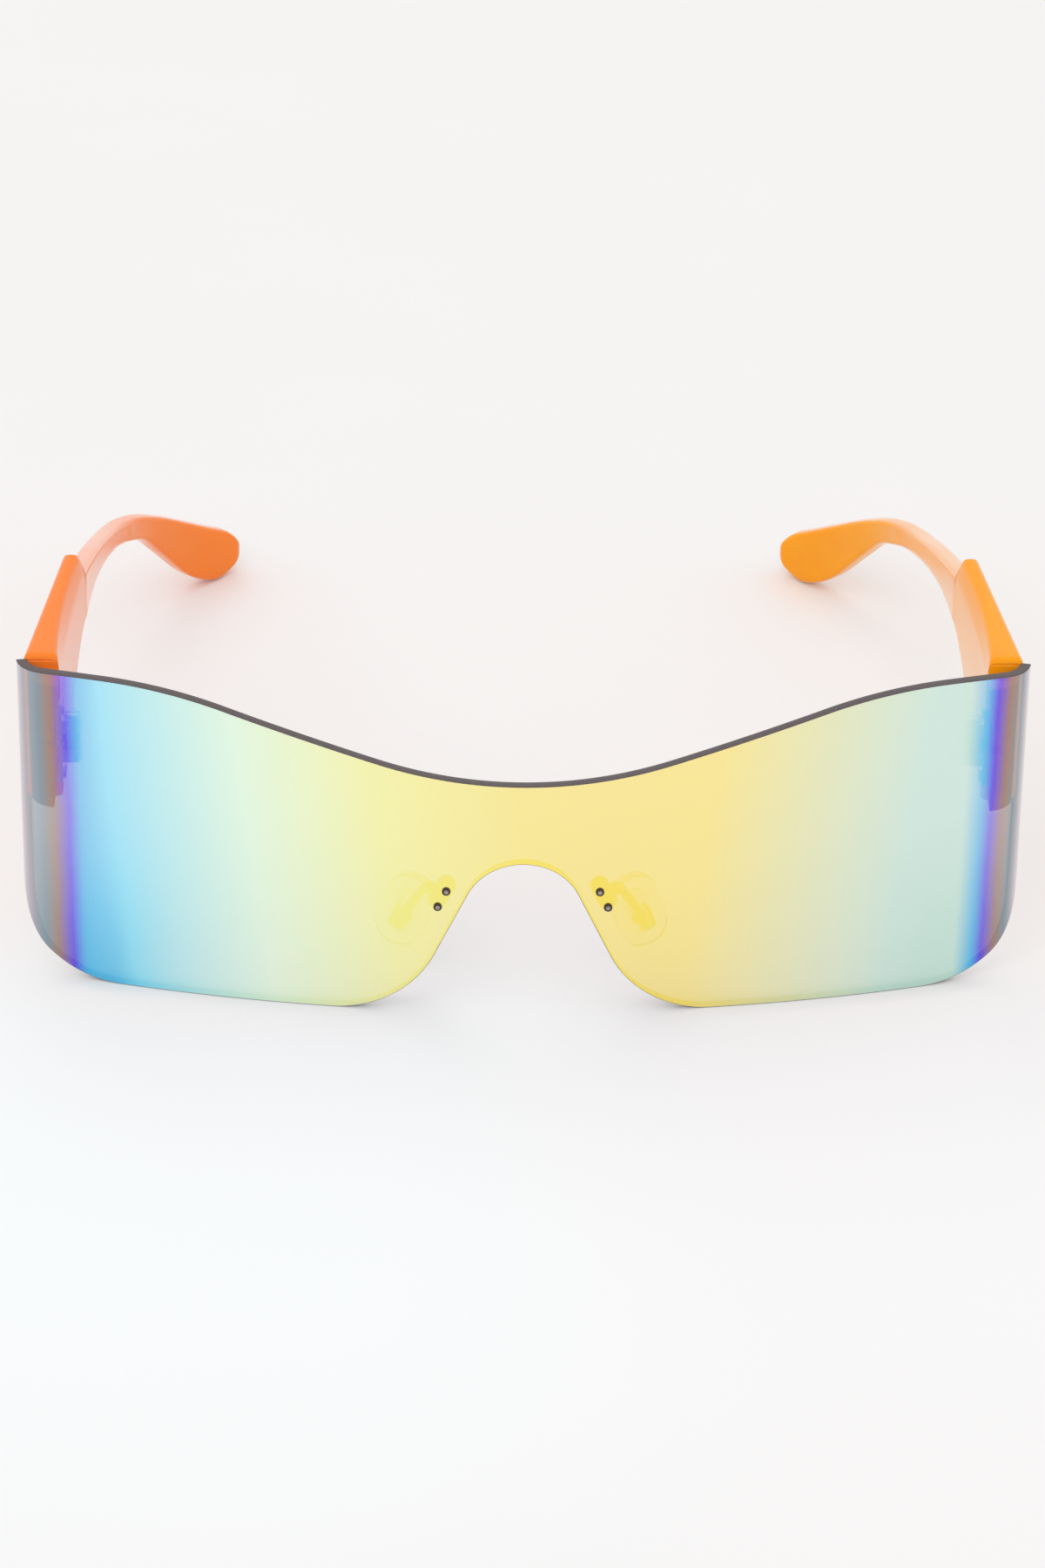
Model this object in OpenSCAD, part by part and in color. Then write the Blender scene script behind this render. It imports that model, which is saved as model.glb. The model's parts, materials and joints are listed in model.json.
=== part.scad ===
// Shield sunglasses: one bent mirror lens, two folding temples and two rocking nose pads.
// Millimetres. X runs across the face, Y from the lens towards the ears, Z up.
// The origin is on the surface that the pair rests on, under the middle of its outline.
// Shapes are drawn for the +X side and mirrored for the other one.

/* [Shield lens] */
// Thickness of the lens sheet
lens_t = 1.5; // [1.2:0.1:1.8]
// Radius of the lens front, seen from above
lens_r = 233.7; // [215:1:260]
// Half width of the evenly curved front
front_half_w = 69.5; // [67:0.5:72]
// Outer radius of the bent corners
corner_r = 5.5; // [5:0.1:6.5]
// Direction in which the lens ends, 90 being straight back
corner_end_angle = 79; // [72:1:84]
// Height of the lens at its two crests
crest_h = 50.85; // [48:0.5:54]
// Height of the lens in the middle
mid_h = 38.15; // [36:0.5:40]
// Sideways place of the crests
crest_x = 61; // [58:0.5:63]
// Radius of the top edge in the middle dip
dip_r = 72; // [64:1:80]
// Share of the top edge between the middle and a crest that is curved
curved_share = 0.8636; // [0.8:0.01:0.95]
// Radius of the top edge outwards of the crests
shoulder_r = 240; // [120:10:400]
// Radius of the lower outer corners
low_corner_r = 16; // [12:0.5:18]
// Direction, seen from above, in which the lower corners are cut
low_corner_turn = 25; // [15:1:35]

/* [Nose arch] */
// Height of the nose arch
arch_h = 25.2; // [23:0.2:27]
// Radius at the top of the arch
arch_r = 8.8; // [8:0.2:9.6]
// Slope of the arch sides
arch_slope = 65; // [62:1:69]
// Radius where the arch runs out into the lower edge
flare_r = 16.5; // [14:0.5:19]

/* [Temples] */
// Length of a temple behind the lens
temple_len = 124.8; // [115:0.5:135]
// Length of the deep block at the front of the temple
block_len = 31.4; // [26:0.2:36]
// Height of the block
block_h = 23.4; // [21.5:0.2:25]
// Width of the block at its front
block_w = 5.2; // [4.8:0.1:5.8]
// Inward lean of the block's outer face
block_lean = 7.2; // [6:0.2:8.4]
// Step from the block's top down to the arm
notch_drop = 3.4; // [2:0.1:4.5]
// Thickness of the slender arm
arm_w = 3.1; // [2.6:0.1:3.6]
// How far the tip bends in from where the arm starts
tip_in = 20.8; // [16:0.2:24]
// Radius of the moulded long edges
edge_r = 1; // [0.5:0.1:1.3]

/* [End pieces] */
// Height of an end piece
end_h = 20.3; // [19:0.1:21]
// Width of the gap between its two lugs
lug_gap = 1.9; // [1.2:0.1:2.6]

/* [Hinges] */
// Outer radius of the hinge barrel
barrel_r = 1.4; // [1.3:0.05:1.5]
// Height of the whole barrel
barrel_h = 7; // [6:0.2:8]
// Radius of the hinge screw
hinge_screw_r = 0.65; // [0.5:0.05:0.75]
// Thickness of the hinge leaves
leaf_t = 0.8; // [0.6:0.05:0.9]
// Length of the leaf on the temple
temple_leaf_len = 7.4; // [6.8:0.2:9]
// Height of the leaf on the end piece
front_leaf_h = 13; // [12.4:0.2:14]

/* [Nose pads] */
// Length of a pad
pad_len = 13; // [11:0.5:15]
// Width of a pad
pad_w = 7.5; // [6.5:0.25:8.5]
// Thickness of a pad at its middle
pad_t = 2.4; // [2:0.1:2.8]
// Radius of the wire that carries a pad
wire_r = 0.6; // [0.5:0.05:0.65]

/* [Hidden] */
// Clearances: a shaft that turns, a screw in its seat, bonded faces, the closed butt joint
running_fit = 0.05;
seat_fit = 0.02;
bond_gap = 0.05;
butt_gap = 0.1;
knuckle_gap = 0.08;
// Overrun of cuts past the face they open
over = 1;
// Sides of round shapes: large sweeps, middling ones and small pins
large_fn = 360;
mid_fn = 96;
small_fn = 32;
// Steps of the moulded arm between two stations, and round each of its edges
arm_steps = 4;
edge_steps = 3;

// Lens, seen from above: the bent corner starts where the even curve has turned this far
front_turn = asin(front_half_w / lens_r);
corner_cx = (lens_r - corner_r) * sin(front_turn);
corner_cy = lens_r - (lens_r - corner_r) * cos(front_turn);
lens_back_y = corner_cy - corner_r * cos(corner_end_angle);
lens_out_x = corner_cx + corner_r * sin(corner_end_angle);
// Large enough to reach past the lens everywhere
reach = 2 * lens_out_x;

// An arc seen from above, its angles measured from straight ahead
function arc(cx, cy, r, from, to, fn) = let (steps = ceil(fn * (to - from) / 360))
    [for (k = [0 : steps]) let (a = from + (to - from) * k / steps)
        [cx + r * sin(a), cy - r * cos(a)]];
// Plan of the lens's surface at an inset, from its left rear edge round to its right one
function lens_half_edge(inset) = concat(
    arc(0, lens_r, lens_r - inset, 0, front_turn, large_fn),
    [for (k = 1, p = corner_arc(inset); k < len(p); k = k + 1) p[k]]);
function corner_arc(inset) = arc(corner_cx, corner_cy, corner_r - inset, front_turn,
    acos(corner_r * cos(corner_end_angle) / (corner_r - inset)), mid_fn);
function lens_edge(inset) = let (half = lens_half_edge(inset)) concat(
    [for (k = [len(half) - 1 : -1 : 1]) [-half[k][0], half[k][1]]], half);

function lens_front_y(x) = lens_r - sqrt(lens_r * lens_r - x * x);
function lens_inner_y(x) = lens_r - sqrt((lens_r - lens_t) * (lens_r - lens_t) - x * x);

// Top edge, seen from the front: the crest's radius, and the straight that joins it to the dip
crest_rise = crest_h - mid_h;
crest_r = curved_share * (crest_x * crest_x + crest_rise * crest_rise) / (2 * crest_rise) - dip_r;
dip_cz = mid_h + dip_r;
crest_cz = crest_h - crest_r;
join_slope = atan2(crest_x, dip_cz - crest_cz)
    - acos((dip_r + crest_r) / norm([crest_x, dip_cz - crest_cz]));
dip_end = [dip_r * sin(join_slope), dip_cz - dip_r * cos(join_slope)];
crest_start = [crest_x - crest_r * sin(join_slope), crest_cz + crest_r * cos(join_slope)];

// Nose arch: crown, straight flank and flare, each tangent to the next
flank_out = [sin(arch_slope), cos(arch_slope)];
flank_down = [cos(arch_slope), -sin(arch_slope)];
crown_end = [0, arch_h - arch_r] + arch_r * flank_out;
flank_len = (crown_end[1] + flare_r * cos(arch_slope) - flare_r) / sin(arch_slope);
flare_start = crown_end + flank_len * flank_down;
flare_cx = flare_start[0] + flare_r * sin(arch_slope);

// Nose pins: beside the arch, in line with its flank
pin_edge = 3.05;
pin_spacing = 2.9;
pin_drop = 0.95;
pin_r = 0.5;
pin_head_r = 0.62;
pin_head_t = 0.35;
pin_hole_r = pin_r + running_fit;
upper_pin = crown_end + pin_edge * flank_out + pin_drop * flank_down;
lower_pin = upper_pin + pin_spacing * flank_down;
// Slot plate behind the lens, nuts behind the plate
plate_r = 1.35;
plate_t = 0.6;
// Ear of the plate, beside its middle, from which the wire starts
ear_r = 1;
ear_reach = 1.9;
nut_r = 1.1;
nut_t = 0.8;
pin_tail = 0.3;
ear = (upper_pin + lower_pin) / 2 + ear_reach * flank_out;
plate_y = lens_inner_y(ear[0] + ear_r) + seat_fit;
nut_y = plate_y + plate_t;

// End piece: bonded inside the bent corner
end_drop = 2.95;
end_top = crest_h - end_drop;
end_bottom = end_top - end_h;
end_mid = (end_top + end_bottom) / 2;
end_back_y = lens_back_y;
// Upper lug, its share of the height, and how far each lug's inner edge slants out
upper_lug_share = 0.46;
lug_slant = 1.2;
lug_root = 1.6;
gap_top = end_top - upper_lug_share * end_h;
gap_bottom = gap_top - lug_gap;

// Temple block: outer face just inside the lens end, a little above the crests
block_inset = 1;
block_rise = 0.35;
temple_y = lens_back_y + butt_gap;
block_out_x = lens_out_x - block_inset;
block_in_x = block_out_x - block_w;
block_top = crest_h + block_rise;
block_bottom = block_top - block_h;
// The block's inner face is hollowed towards this seat, where the hinge leaf lies
seat_depth = 0.65;
seat_x = block_in_x + seat_depth;
hollow_r = 130;
hollow_share = 0.32;
front_round = 0.9;
ramp_len = 1.3;
low_drift = 1.95;
// Underside of the block: it sweeps up to the arm between these shares of its length
sweep_start_share = 0.13;
sweep_end_share = 1.18;
sweep_top_share = 0.841;
block_shares = [0, 0.01, 0.03, 0.12, 0.24, 0.36, 0.5, 0.64, 0.78, 0.9, 1];

// Arm: it starts at the foot of the block's rear wall
arm_y = temple_y + block_len + ramp_len;
arm_top = block_top - notch_drop;
arm_out_x = block_out_x - (block_len + ramp_len) * tan(block_lean);
arm_x = arm_out_x - arm_w / 2;
arm_len = temple_len - block_len - ramp_len;
// Stations: shares of arm length, inward bend, height (top and underside) and thickness
arm_shares = [
    [0,     0,     1,     0.828,  1],
    [0.092, 0.004, 0.934, 0.793,  1],
    [0.2,   0.011, 0.855, 0.742,  1],
    [0.309, 0.023, 0.775, 0.678,  1],
    [0.418, 0.038, 0.692, 0.606,  1],
    [0.515, 0.057, 0.617, 0.537,  1.02],
    [0.613, 0.09,  0.545, 0.467,  1.04],
    [0.7,   0.153, 0.483, 0.4,    1.06],
    [0.776, 0.268, 0.424, 0.33,   1.08],
    [0.841, 0.417, 0.356, 0.236,  1.1],
    [0.901, 0.595, 0.278, 0.115,  1.1],
    [0.95,  0.783, 0.208, 0.012,  1.06],
    [0.978, 0.9,   0.178, -0.012, 0.98],
    [0.99909, 1.005, 0.155, -0.01, 0.84]];
// Height of the arm above its shoulder line, as a share of the arm's height
shoulder_share = 0.35;
// The paddle's end is rounded over these lengths, above and below the line at this share of
// its height, and keeps this share of its height at the very end
tip_round_above = 3.6;
tip_round_below = 8;
tip_line_share = 0.6;
tip_end_share = 0.3;

// Hinge: its axis stands just inside the temple's inner face, at the butt joint
leaf_gap = 0.15;
hinge_x = seat_x - leaf_t - leaf_gap - barrel_r;
hinge_y = temple_y;
hinge_z = end_mid;
knuckle_h = (barrel_h - 2 * knuckle_gap) / 3;
knuckle_pitch = knuckle_h + knuckle_gap;
leaf_x = seat_x - leaf_t;
temple_leaf_h = 5.6;
front_leaf_w = 2;
hinge_head_r = 1.15;
hinge_head_h = 0.6;
hinge_tail = 0.3;
slot_w = 0.3;
slot_depth = 0.25;
// Leaf screws
leaf_screw_r = 0.55;
leaf_head_r = 0.9;
leaf_head_h = 0.5;
leaf_screw_len = 3.2;
leaf_screw_edge = 0.95;
front_screw_z = front_leaf_h / 2 - leaf_screw_edge - leaf_head_r / 3;
front_screw_y = end_back_y - front_leaf_w / 2;
temple_screw_y = temple_y + temple_leaf_len - leaf_screw_edge - leaf_head_r / 3;
temple_screw_pitch = 2.6;

// Nose pad: the rocking axis, set out from the lower nose pin
box_out = 5.3;
box_back = 3.9;
box_drop = 4.7;
pad_pivot = [lower_pin[0] + box_out, plate_y + box_back, lower_pin[1] - box_drop];
pad_turn = 110;
pad_tilt = -20;
pad_screw_r = 0.4;
pad_head_r = 0.75;
pad_head_t = 0.4;
cheek_t = 0.5;
cheek_gap = 0.05;
cheek_h = 2.8;
eye_r = 0.9;
eye_w = 1.2;
box_wall = 0.5;
box_clear = 0.2;
box_front = 0.8;
// Back of the pad, measured from the rocking axis
pad_back = 1.3;
core_t = 0.5;
core_len_share = 0.62;
core_w_share = 0.48;
pad_rim_t = 1.1;
cheek_out = eye_w / 2 + cheek_gap + cheek_t;
box_rear = eye_r + box_clear + box_wall;

// Arm stations in place, and the smooth path through them
arm_stations = [for (s = arm_shares)
    [arm_x - tip_in * s[1], arm_y + arm_len * s[0], arm_top * s[2], arm_top * s[3], arm_w * s[4]]];
last_station = len(arm_stations) - 1;

function through(p0, p1, p2, p3, t) =
    (2 * p1 + (p2 - p0) * t + (2 * p0 - 5 * p1 + 4 * p2 - p3) * t * t
        + (3 * p1 - p0 - 3 * p2 + p3) * t * t * t) / 2;
arm_path = [for (i = [0 : last_station - 1]) for (k = [0 : arm_steps - 1])
        through(arm_stations[max(i - 1, 0)], arm_stations[i], arm_stations[i + 1],
            arm_stations[min(i + 2, last_station)], k / arm_steps),
    arm_stations[last_station]];
last_ring = len(arm_path) - 1;

function plan(p) = [p[0], p[1]];
function unit(v) = v / norm(v);
function heading(k) = unit(plan(arm_path[min(k + 1, last_ring)]) - plan(arm_path[max(k - 1, 0)]));
function tip_share(k, length) = let (d = norm(plan(arm_path[k]) - plan(arm_path[last_ring])),
    u = max(0, 1 - d / length)) max(sqrt(1 - u * u), tip_end_share);

// One corner of a section, rounded from the side before it to the side after it
function rounded(before, p, after) = let (
    r_in = min(edge_r, norm(before - p) / 2.2), r_out = min(edge_r, norm(after - p) / 2.2),
    a = p + r_in * unit(before - p), b = p + r_out * unit(after - p))
    [for (k = [0 : edge_steps]) let (t = k / edge_steps)
        (1 - t) * (1 - t) * a + 2 * t * (1 - t) * p + t * t * b];

// Section of the temple: outer face, inner face above and below the shoulder, and heights
function section(place, across, outer, inner_top, inner_low, top, shoulder, bottom) = let (
    corners = [[outer, top], [inner_top, top], [inner_low, shoulder], [inner_low, bottom],
        [outer, bottom]], n = len(corners))
    [for (i = [0 : n - 1])
        for (q = rounded(corners[(i + n - 1) % n], corners[i], corners[(i + 1) % n]))
            [place[0] + across[0] * q[0], place[1] + across[1] * q[0], q[1]]];

function block_under(dy) = let (share = dy / block_len,
    t = min(1, max(0, (share - sweep_start_share) / (sweep_end_share - sweep_start_share))))
    block_bottom + (arm_top * sweep_top_share - block_bottom) * (1 - cos(180 * t)) / 2;
function front_fall(dy) = dy >= front_round ? 0
    : front_round - sqrt(front_round * front_round - pow(front_round - dy, 2));
function block_section(dy) = section([0, temple_y + dy], [1, 0],
    block_out_x - dy * tan(block_lean),
    seat_x - pow(dy - hollow_share * block_len, 2) / (2 * hollow_r),
    block_in_x - low_drift * pow(dy / (block_len + ramp_len), 2),
    block_top - front_fall(dy), arm_top, block_under(dy));
function arm_section(k) = let (p = arm_path[k], d = heading(k),
    above = tip_share(k, tip_round_above), below = tip_share(k, tip_round_below),
    line = p[3] + tip_line_share * (p[2] - p[3]), side = max(above, 0.6) * p[4] / 2,
    low = max(0, line - below * (line - p[3])), high = line + above * (p[2] - line))
    section(plan(p), [d[1], -d[0]], side, -side, -side, high,
        high - shoulder_share * (high - low), low);

temple_rings = concat([for (s = block_shares) block_section(s * block_len)],
    [for (k = [0 : last_ring]) arm_section(k)]);
temple_back_y = max([for (ring = temple_rings) for (p = ring) p[1]]);
lens_lead_y = lens_front_y(upper_pin[0] - pin_head_r) - pin_head_t;
middle_y = (temple_back_y + min(0, lens_lead_y)) / 2;

// Stretches one closed skin over a list of rings
module skin(rings) {
    n = len(rings[0]);
    m = len(rings);
    points = [for (ring = rings) for (p = ring) p];
    walls = [for (i = [0 : m - 2]) for (j = [0 : n - 1]) let (a = i * n + j,
        b = i * n + (j + 1) % n) each [[a, a + n, b], [b, a + n, b + n]]];
    front_cap = [for (j = [1 : n - 2]) [0, j, j + 1]];
    back_cap = [for (j = [1 : n - 2]) (m - 1) * n * [1, 1, 1] + [0, j + 1, j]];
    polyhedron(points = points, faces = concat(walls, front_cap, back_cap), convexity = 6);
}

// Puts a piece in the part's own frame, on the chosen side
module placed(side = 1) {
    translate([0, -middle_y, 0])
        if (side < 0) mirror([1, 0, 0]) children();
        else children();
}

module both_sides() {
    children();
    mirror([1, 0, 0]) children();
}

// Seen from the front, drawn in X and Z and swept along Y
module swept_front(from_y, to_y) {
    translate([0, to_y, 0]) rotate([90, 0, 0]) linear_extrude(height = to_y - from_y) children();
}

// A round bar along X, Y or Z
module bar_x(r, from, to, fn = small_fn) {
    translate([from, 0, 0]) rotate([0, 90, 0]) cylinder(r = r, h = to - from, $fn = fn);
}
module bar_y(r, from, to, fn = small_fn) {
    translate([0, to, 0]) rotate([90, 0, 0]) cylinder(r = r, h = to - from, $fn = fn);
}
module bar_z(r, from, to, fn = small_fn) {
    translate([0, 0, from]) cylinder(r = r, h = to - from, $fn = fn);
}

// Plan of the lens: one sheet thick, up to its rear edges
module lens_plan() {
    outer = lens_edge(0);
    inner = lens_edge(lens_t);
    polygon(concat(outer, [for (k = [len(inner) - 1 : -1 : 0]) inner[k]]));
}

// Front view of the lens without the nose arch
module lens_face() {
    end_x = lens_out_x + over;
    difference() {
        polygon([[-crest_start[0], 0], [crest_start[0], 0], crest_start, dip_end,
            [-dip_end[0], dip_end[1]], [-crest_start[0], crest_start[1]]]);
        translate([0, dip_cz]) circle(r = dip_r, $fn = large_fn);
    }
    both_sides() {
        intersection() {
            translate([crest_x, crest_cz]) circle(r = crest_r, $fn = large_fn);
            translate([crest_start[0], 0]) square([crest_x - crest_start[0], 2 * crest_h]);
        }
        intersection() {
            translate([crest_x, crest_h - shoulder_r]) circle(r = shoulder_r, $fn = large_fn);
            translate([crest_x, 0]) square([end_x - crest_x, 2 * crest_h]);
        }
    }
}

module nose_arch() {
    translate([0, arch_h - arch_r]) circle(r = arch_r, $fn = mid_fn);
    difference() {
        polygon([[-flare_cx, -over], [flare_cx, -over], [flare_cx, 0], flare_start, crown_end,
            [-crown_end[0], crown_end[1]], [-flare_start[0], flare_start[1]], [-flare_cx, 0]]);
        both_sides() translate([flare_cx, flare_r]) circle(r = flare_r, $fn = mid_fn);
    }
}

// What is cut away to round a lower outer corner
module low_corner() {
    start = lens_out_x * cos(low_corner_turn) + lens_back_y * sin(low_corner_turn) - low_corner_r;
    rotate([0, 0, low_corner_turn]) swept_front(-reach, reach) difference() {
        translate([start, -over]) square([low_corner_r + lens_t + over, low_corner_r + over]);
        translate([start, low_corner_r]) circle(r = low_corner_r, $fn = mid_fn);
    }
}

// The same shape at each of one side's two nose pins
module at_pins() {
    for (p = [upper_pin, lower_pin]) translate([p[0], 0, p[1]]) children();
}

module shield_lens() color("paleturquoise") difference() {
    intersection() {
        linear_extrude(height = 2 * crest_h) lens_plan();
        swept_front(-over, reach) difference() {
            lens_face();
            nose_arch();
        }
    }
    both_sides() low_corner();
    both_sides() at_pins() bar_y(pin_hole_r, -over, plate_y);
}

// Where one side's leaf screws stand: along X, through the leaf into the piece behind
module at_front_screws() {
    for (z = [-front_screw_z, front_screw_z]) translate([0, front_screw_y, hinge_z + z]) children();
}
module at_temple_screws() {
    for (k = [0, 1]) translate([0, temple_screw_y - k * temple_screw_pitch, hinge_z]) children();
}
module leaf_screw() difference() {
    union() {
        bar_x(leaf_head_r, leaf_x - leaf_head_h, leaf_x);
        bar_x(leaf_screw_r, leaf_x - leaf_head_h / 2, leaf_x + leaf_screw_len);
    }
    translate([leaf_x - leaf_head_h - over, -slot_w / 2, -leaf_head_r - over])
        cube([over + slot_depth, slot_w, 2 * (leaf_head_r + over)]);
}
module leaf_screw_hole() {
    bar_x(leaf_screw_r + seat_fit, leaf_x - over, leaf_x + leaf_screw_len + seat_fit);
}

module temple() color("orange") difference() {
    skin(temple_rings);
    // seat of the hinge leaf
    translate([seat_x - over, temple_y - over, hinge_z - temple_leaf_h / 2 - bond_gap])
        cube([over, temple_leaf_len + bond_gap + over, temple_leaf_h + 2 * bond_gap]);
    at_temple_screws() leaf_screw_hole();
}

// Plan of the end piece: it fills the bent corner up to the lens's rear edge
module end_plan() {
    intersection() {
        polygon(lens_edge(lens_t + bond_gap));
        translate([block_in_x - over, 0]) square([reach, end_back_y]);
    }
}

// Two lugs whose inner edges slant outwards as they go down, seen from the front
module end_face() {
    root = block_in_x + lug_slant + lug_root;
    polygon([[reach, end_bottom], [block_in_x + lug_slant, end_bottom], [block_in_x, gap_bottom],
        [root, gap_bottom], [root, gap_top], [block_in_x + lug_slant, gap_top],
        [block_in_x, end_top], [reach, end_top]]);
}

module end_piece() color("darkorange") difference() {
    intersection() {
        linear_extrude(height = crest_h) end_plan();
        swept_front(0, end_back_y) end_face();
    }
    // seat of the hinge leaf
    translate([seat_x - reach, end_back_y - front_leaf_w - bond_gap,
        hinge_z - front_leaf_h / 2 - bond_gap])
        cube([reach, front_leaf_w + bond_gap + over, front_leaf_h + 2 * bond_gap]);
    at_front_screws() leaf_screw_hole();
}

// One knuckle with the web that joins it to its leaf; back is the side the web lies on
module knuckle(slot, back) {
    low = hinge_z + (slot - 1) * knuckle_pitch - knuckle_h / 2;
    translate([hinge_x, hinge_y, 0]) bar_z(barrel_r, low, low + knuckle_h);
    web_y = back ? hinge_y : end_back_y - barrel_r;
    translate([hinge_x, web_y, low]) cube([leaf_x - hinge_x + leaf_t / 2, barrel_r, knuckle_h]);
}

module front_leaf() color("silver") difference() {
    union() {
        translate([leaf_x, end_back_y - front_leaf_w, hinge_z - front_leaf_h / 2])
            cube([leaf_t, front_leaf_w, front_leaf_h]);
        knuckle(0, false);
        knuckle(2, false);
    }
    translate([hinge_x, hinge_y, 0])
        bar_z(hinge_screw_r + seat_fit, hinge_z - barrel_h, hinge_z + barrel_h);
    at_front_screws() leaf_screw_hole();
}

module temple_leaf() color("silver") difference() {
    union() {
        translate([leaf_x, temple_y, hinge_z - temple_leaf_h / 2])
            cube([leaf_t, temple_leaf_len, temple_leaf_h]);
        knuckle(1, true);
    }
    translate([hinge_x, hinge_y, 0])
        bar_z(hinge_screw_r + running_fit, hinge_z - barrel_h, hinge_z + barrel_h);
    at_temple_screws() leaf_screw_hole();
}

module hinge_screw() color("gainsboro") translate([hinge_x, hinge_y, hinge_z]) {
    top = barrel_h / 2;
    difference() {
        union() {
            bar_z(hinge_screw_r, -top - hinge_tail, top + hinge_head_h / 2);
            bar_z(hinge_head_r, top, top + hinge_head_h);
        }
        translate([-hinge_head_r - over, -slot_w / 2, top + hinge_head_h - slot_depth])
            cube([2 * (hinge_head_r + over), slot_w, slot_depth + over]);
    }
}

// Each head seats on the lens front, its shank ends just past the nut
module nose_pins() color("silver") {
    for (p = [upper_pin, lower_pin]) {
        face_y = lens_front_y(p[0] - pin_head_r) - seat_fit;
        translate([p[0], 0, p[1]]) {
            bar_y(pin_head_r, face_y - pin_head_t + seat_fit, face_y);
            bar_y(pin_r, face_y - pin_head_t / 2, nut_y + nut_t + pin_tail);
        }
    }
}

module nose_nuts() color("silver") at_pins() difference() {
    bar_y(nut_r, nut_y, nut_y + nut_t, 6);
    bar_y(pin_r + seat_fit, nut_y - over, nut_y + nut_t + over);
}

// The rocking pad's own frame: X' out of the pad's face, Y' along its screw, Z' up the pad
module at_pad() {
    translate(pad_pivot) rotate([pad_tilt, 0, pad_turn]) children();
}
// A point of that frame in the frame of the whole pair
function pad_point(q) = let (
    y1 = q[1] * cos(pad_tilt) - q[2] * sin(pad_tilt), z1 = q[1] * sin(pad_tilt) + q[2] * cos(pad_tilt))
    pad_pivot + [q[0] * cos(pad_turn) - y1 * sin(pad_turn), q[0] * sin(pad_turn) + y1 * cos(pad_turn), z1];

// A straight length of wire, and the round bend at one of its ends
module wire(from, to) {
    run = to - from;
    translate(from) rotate([0, acos(run[2] / norm(run)), atan2(run[1], run[0])])
        bar_z(wire_r, 0, norm(run));
}
module wire_bend(place) translate(place) sphere(r = wire_r + seat_fit, $fn = small_fn);

module slot_plate() swept_front(plate_y, plate_y + plate_t) {
    translate(upper_pin) circle(r = plate_r, $fn = mid_fn);
    translate(lower_pin) circle(r = plate_r, $fn = mid_fn);
    translate(upper_pin) rotate(-arch_slope) translate([0, -plate_r])
        square([pin_spacing, 2 * plate_r]);
    translate(ear) circle(r = ear_r, $fn = mid_fn);
}

// Slot plate, bent wire and the box in which the pad rocks
module nose_bracket() color("silver") {
    foot = [ear[0], plate_y + wire_r + seat_fit, ear[1]];
    bend = foot + [wire_r, 2 * wire_r, -wire_r];
    box_joint = pad_point([-box_rear - wire_r / 2, 0, 0]);
    difference() {
        slot_plate();
        at_pins() bar_y(pin_r + seat_fit, plate_y - over, nut_y + over);
    }
    wire_bend(foot);
    wire(foot, bend);
    wire_bend(bend);
    wire(bend, box_joint);
    wire_bend(box_joint);
    at_pad() {
        translate([-box_rear, -cheek_out, -cheek_h / 2]) cube([box_wall, 2 * cheek_out, cheek_h]);
        difference() {
            for (y = [-cheek_out, cheek_out - cheek_t]) translate([-box_rear, y, -cheek_h / 2])
                cube([box_rear + box_front, cheek_t, cheek_h]);
            bar_y(pad_screw_r + seat_fit, -cheek_out - over, cheek_out + over);
        }
    }
}

module pad_screw() color("gainsboro") at_pad() {
    bar_y(pad_screw_r, -cheek_out - cheek_gap, cheek_out + pad_head_t / 2);
    bar_y(pad_head_r, cheek_out, cheek_out + pad_head_t);
}

// A slot-shaped plate in the pad's frame, standing on its back
module pad_plate(length, width, from, to) {
    r = width / 2;
    half = length / 2 - r;
    for (z = [-half, half]) translate([0, 0, z]) bar_x(r, from, to, mid_fn);
    translate([from, -r, -half]) cube([to - from, width, 2 * half]);
}

module pad_core() color("whitesmoke") at_pad() difference() {
    union() {
        pad_plate(pad_len * core_len_share, pad_w * core_w_share, pad_back, pad_back + core_t);
        bar_y(eye_r, -eye_w / 2, eye_w / 2);
        translate([0, -eye_w / 2, -eye_r]) cube([pad_back + core_t / 2, eye_w, 2 * eye_r]);
    }
    bar_y(pad_screw_r + running_fit, -eye_w, eye_w);
}

// Crowned pad: a slot-shaped block under a ball, with a pocket for the core
module nose_pad() color("lightcyan") at_pad() difference() {
    half = pad_len / 2;
    crown_h = pad_t - pad_rim_t;
    crown_r = (half * half + crown_h * crown_h) / (2 * crown_h);
    intersection() {
        pad_plate(pad_len, pad_w, pad_back, pad_back + pad_t);
        translate([pad_back + pad_t - crown_r, 0, 0]) sphere(r = crown_r, $fn = mid_fn);
    }
    pad_plate(pad_len * core_len_share + 2 * bond_gap, pad_w * core_w_share + 2 * bond_gap,
        pad_back - over, pad_back + core_t);
}

module front_leaf_screws() color("gainsboro") at_front_screws() leaf_screw();
module temple_leaf_screws() color("gainsboro") at_temple_screws() leaf_screw();

placed() shield_lens();
placed(-1) temple();  // temple_left
placed() temple();  // temple_right
placed(-1) end_piece();  // end_piece_left
placed() end_piece();  // end_piece_right
placed(-1) front_leaf();  // front_leaf_left
placed() front_leaf();  // front_leaf_right
placed(-1) temple_leaf();  // temple_leaf_left
placed() temple_leaf();  // temple_leaf_right
placed(-1) hinge_screw();  // hinge_screw_left
placed() hinge_screw();  // hinge_screw_right
placed(-1) front_leaf_screws();  // front_leaf_screws_left
placed() front_leaf_screws();  // front_leaf_screws_right
placed(-1) temple_leaf_screws();  // temple_leaf_screws_left
placed() temple_leaf_screws();  // temple_leaf_screws_right
placed(-1) nose_pins();  // nose_pins_left
placed() nose_pins();  // nose_pins_right
placed(-1) nose_nuts();  // nose_nuts_left
placed() nose_nuts();  // nose_nuts_right
placed(-1) nose_bracket();  // nose_bracket_left
placed() nose_bracket();  // nose_bracket_right
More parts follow.
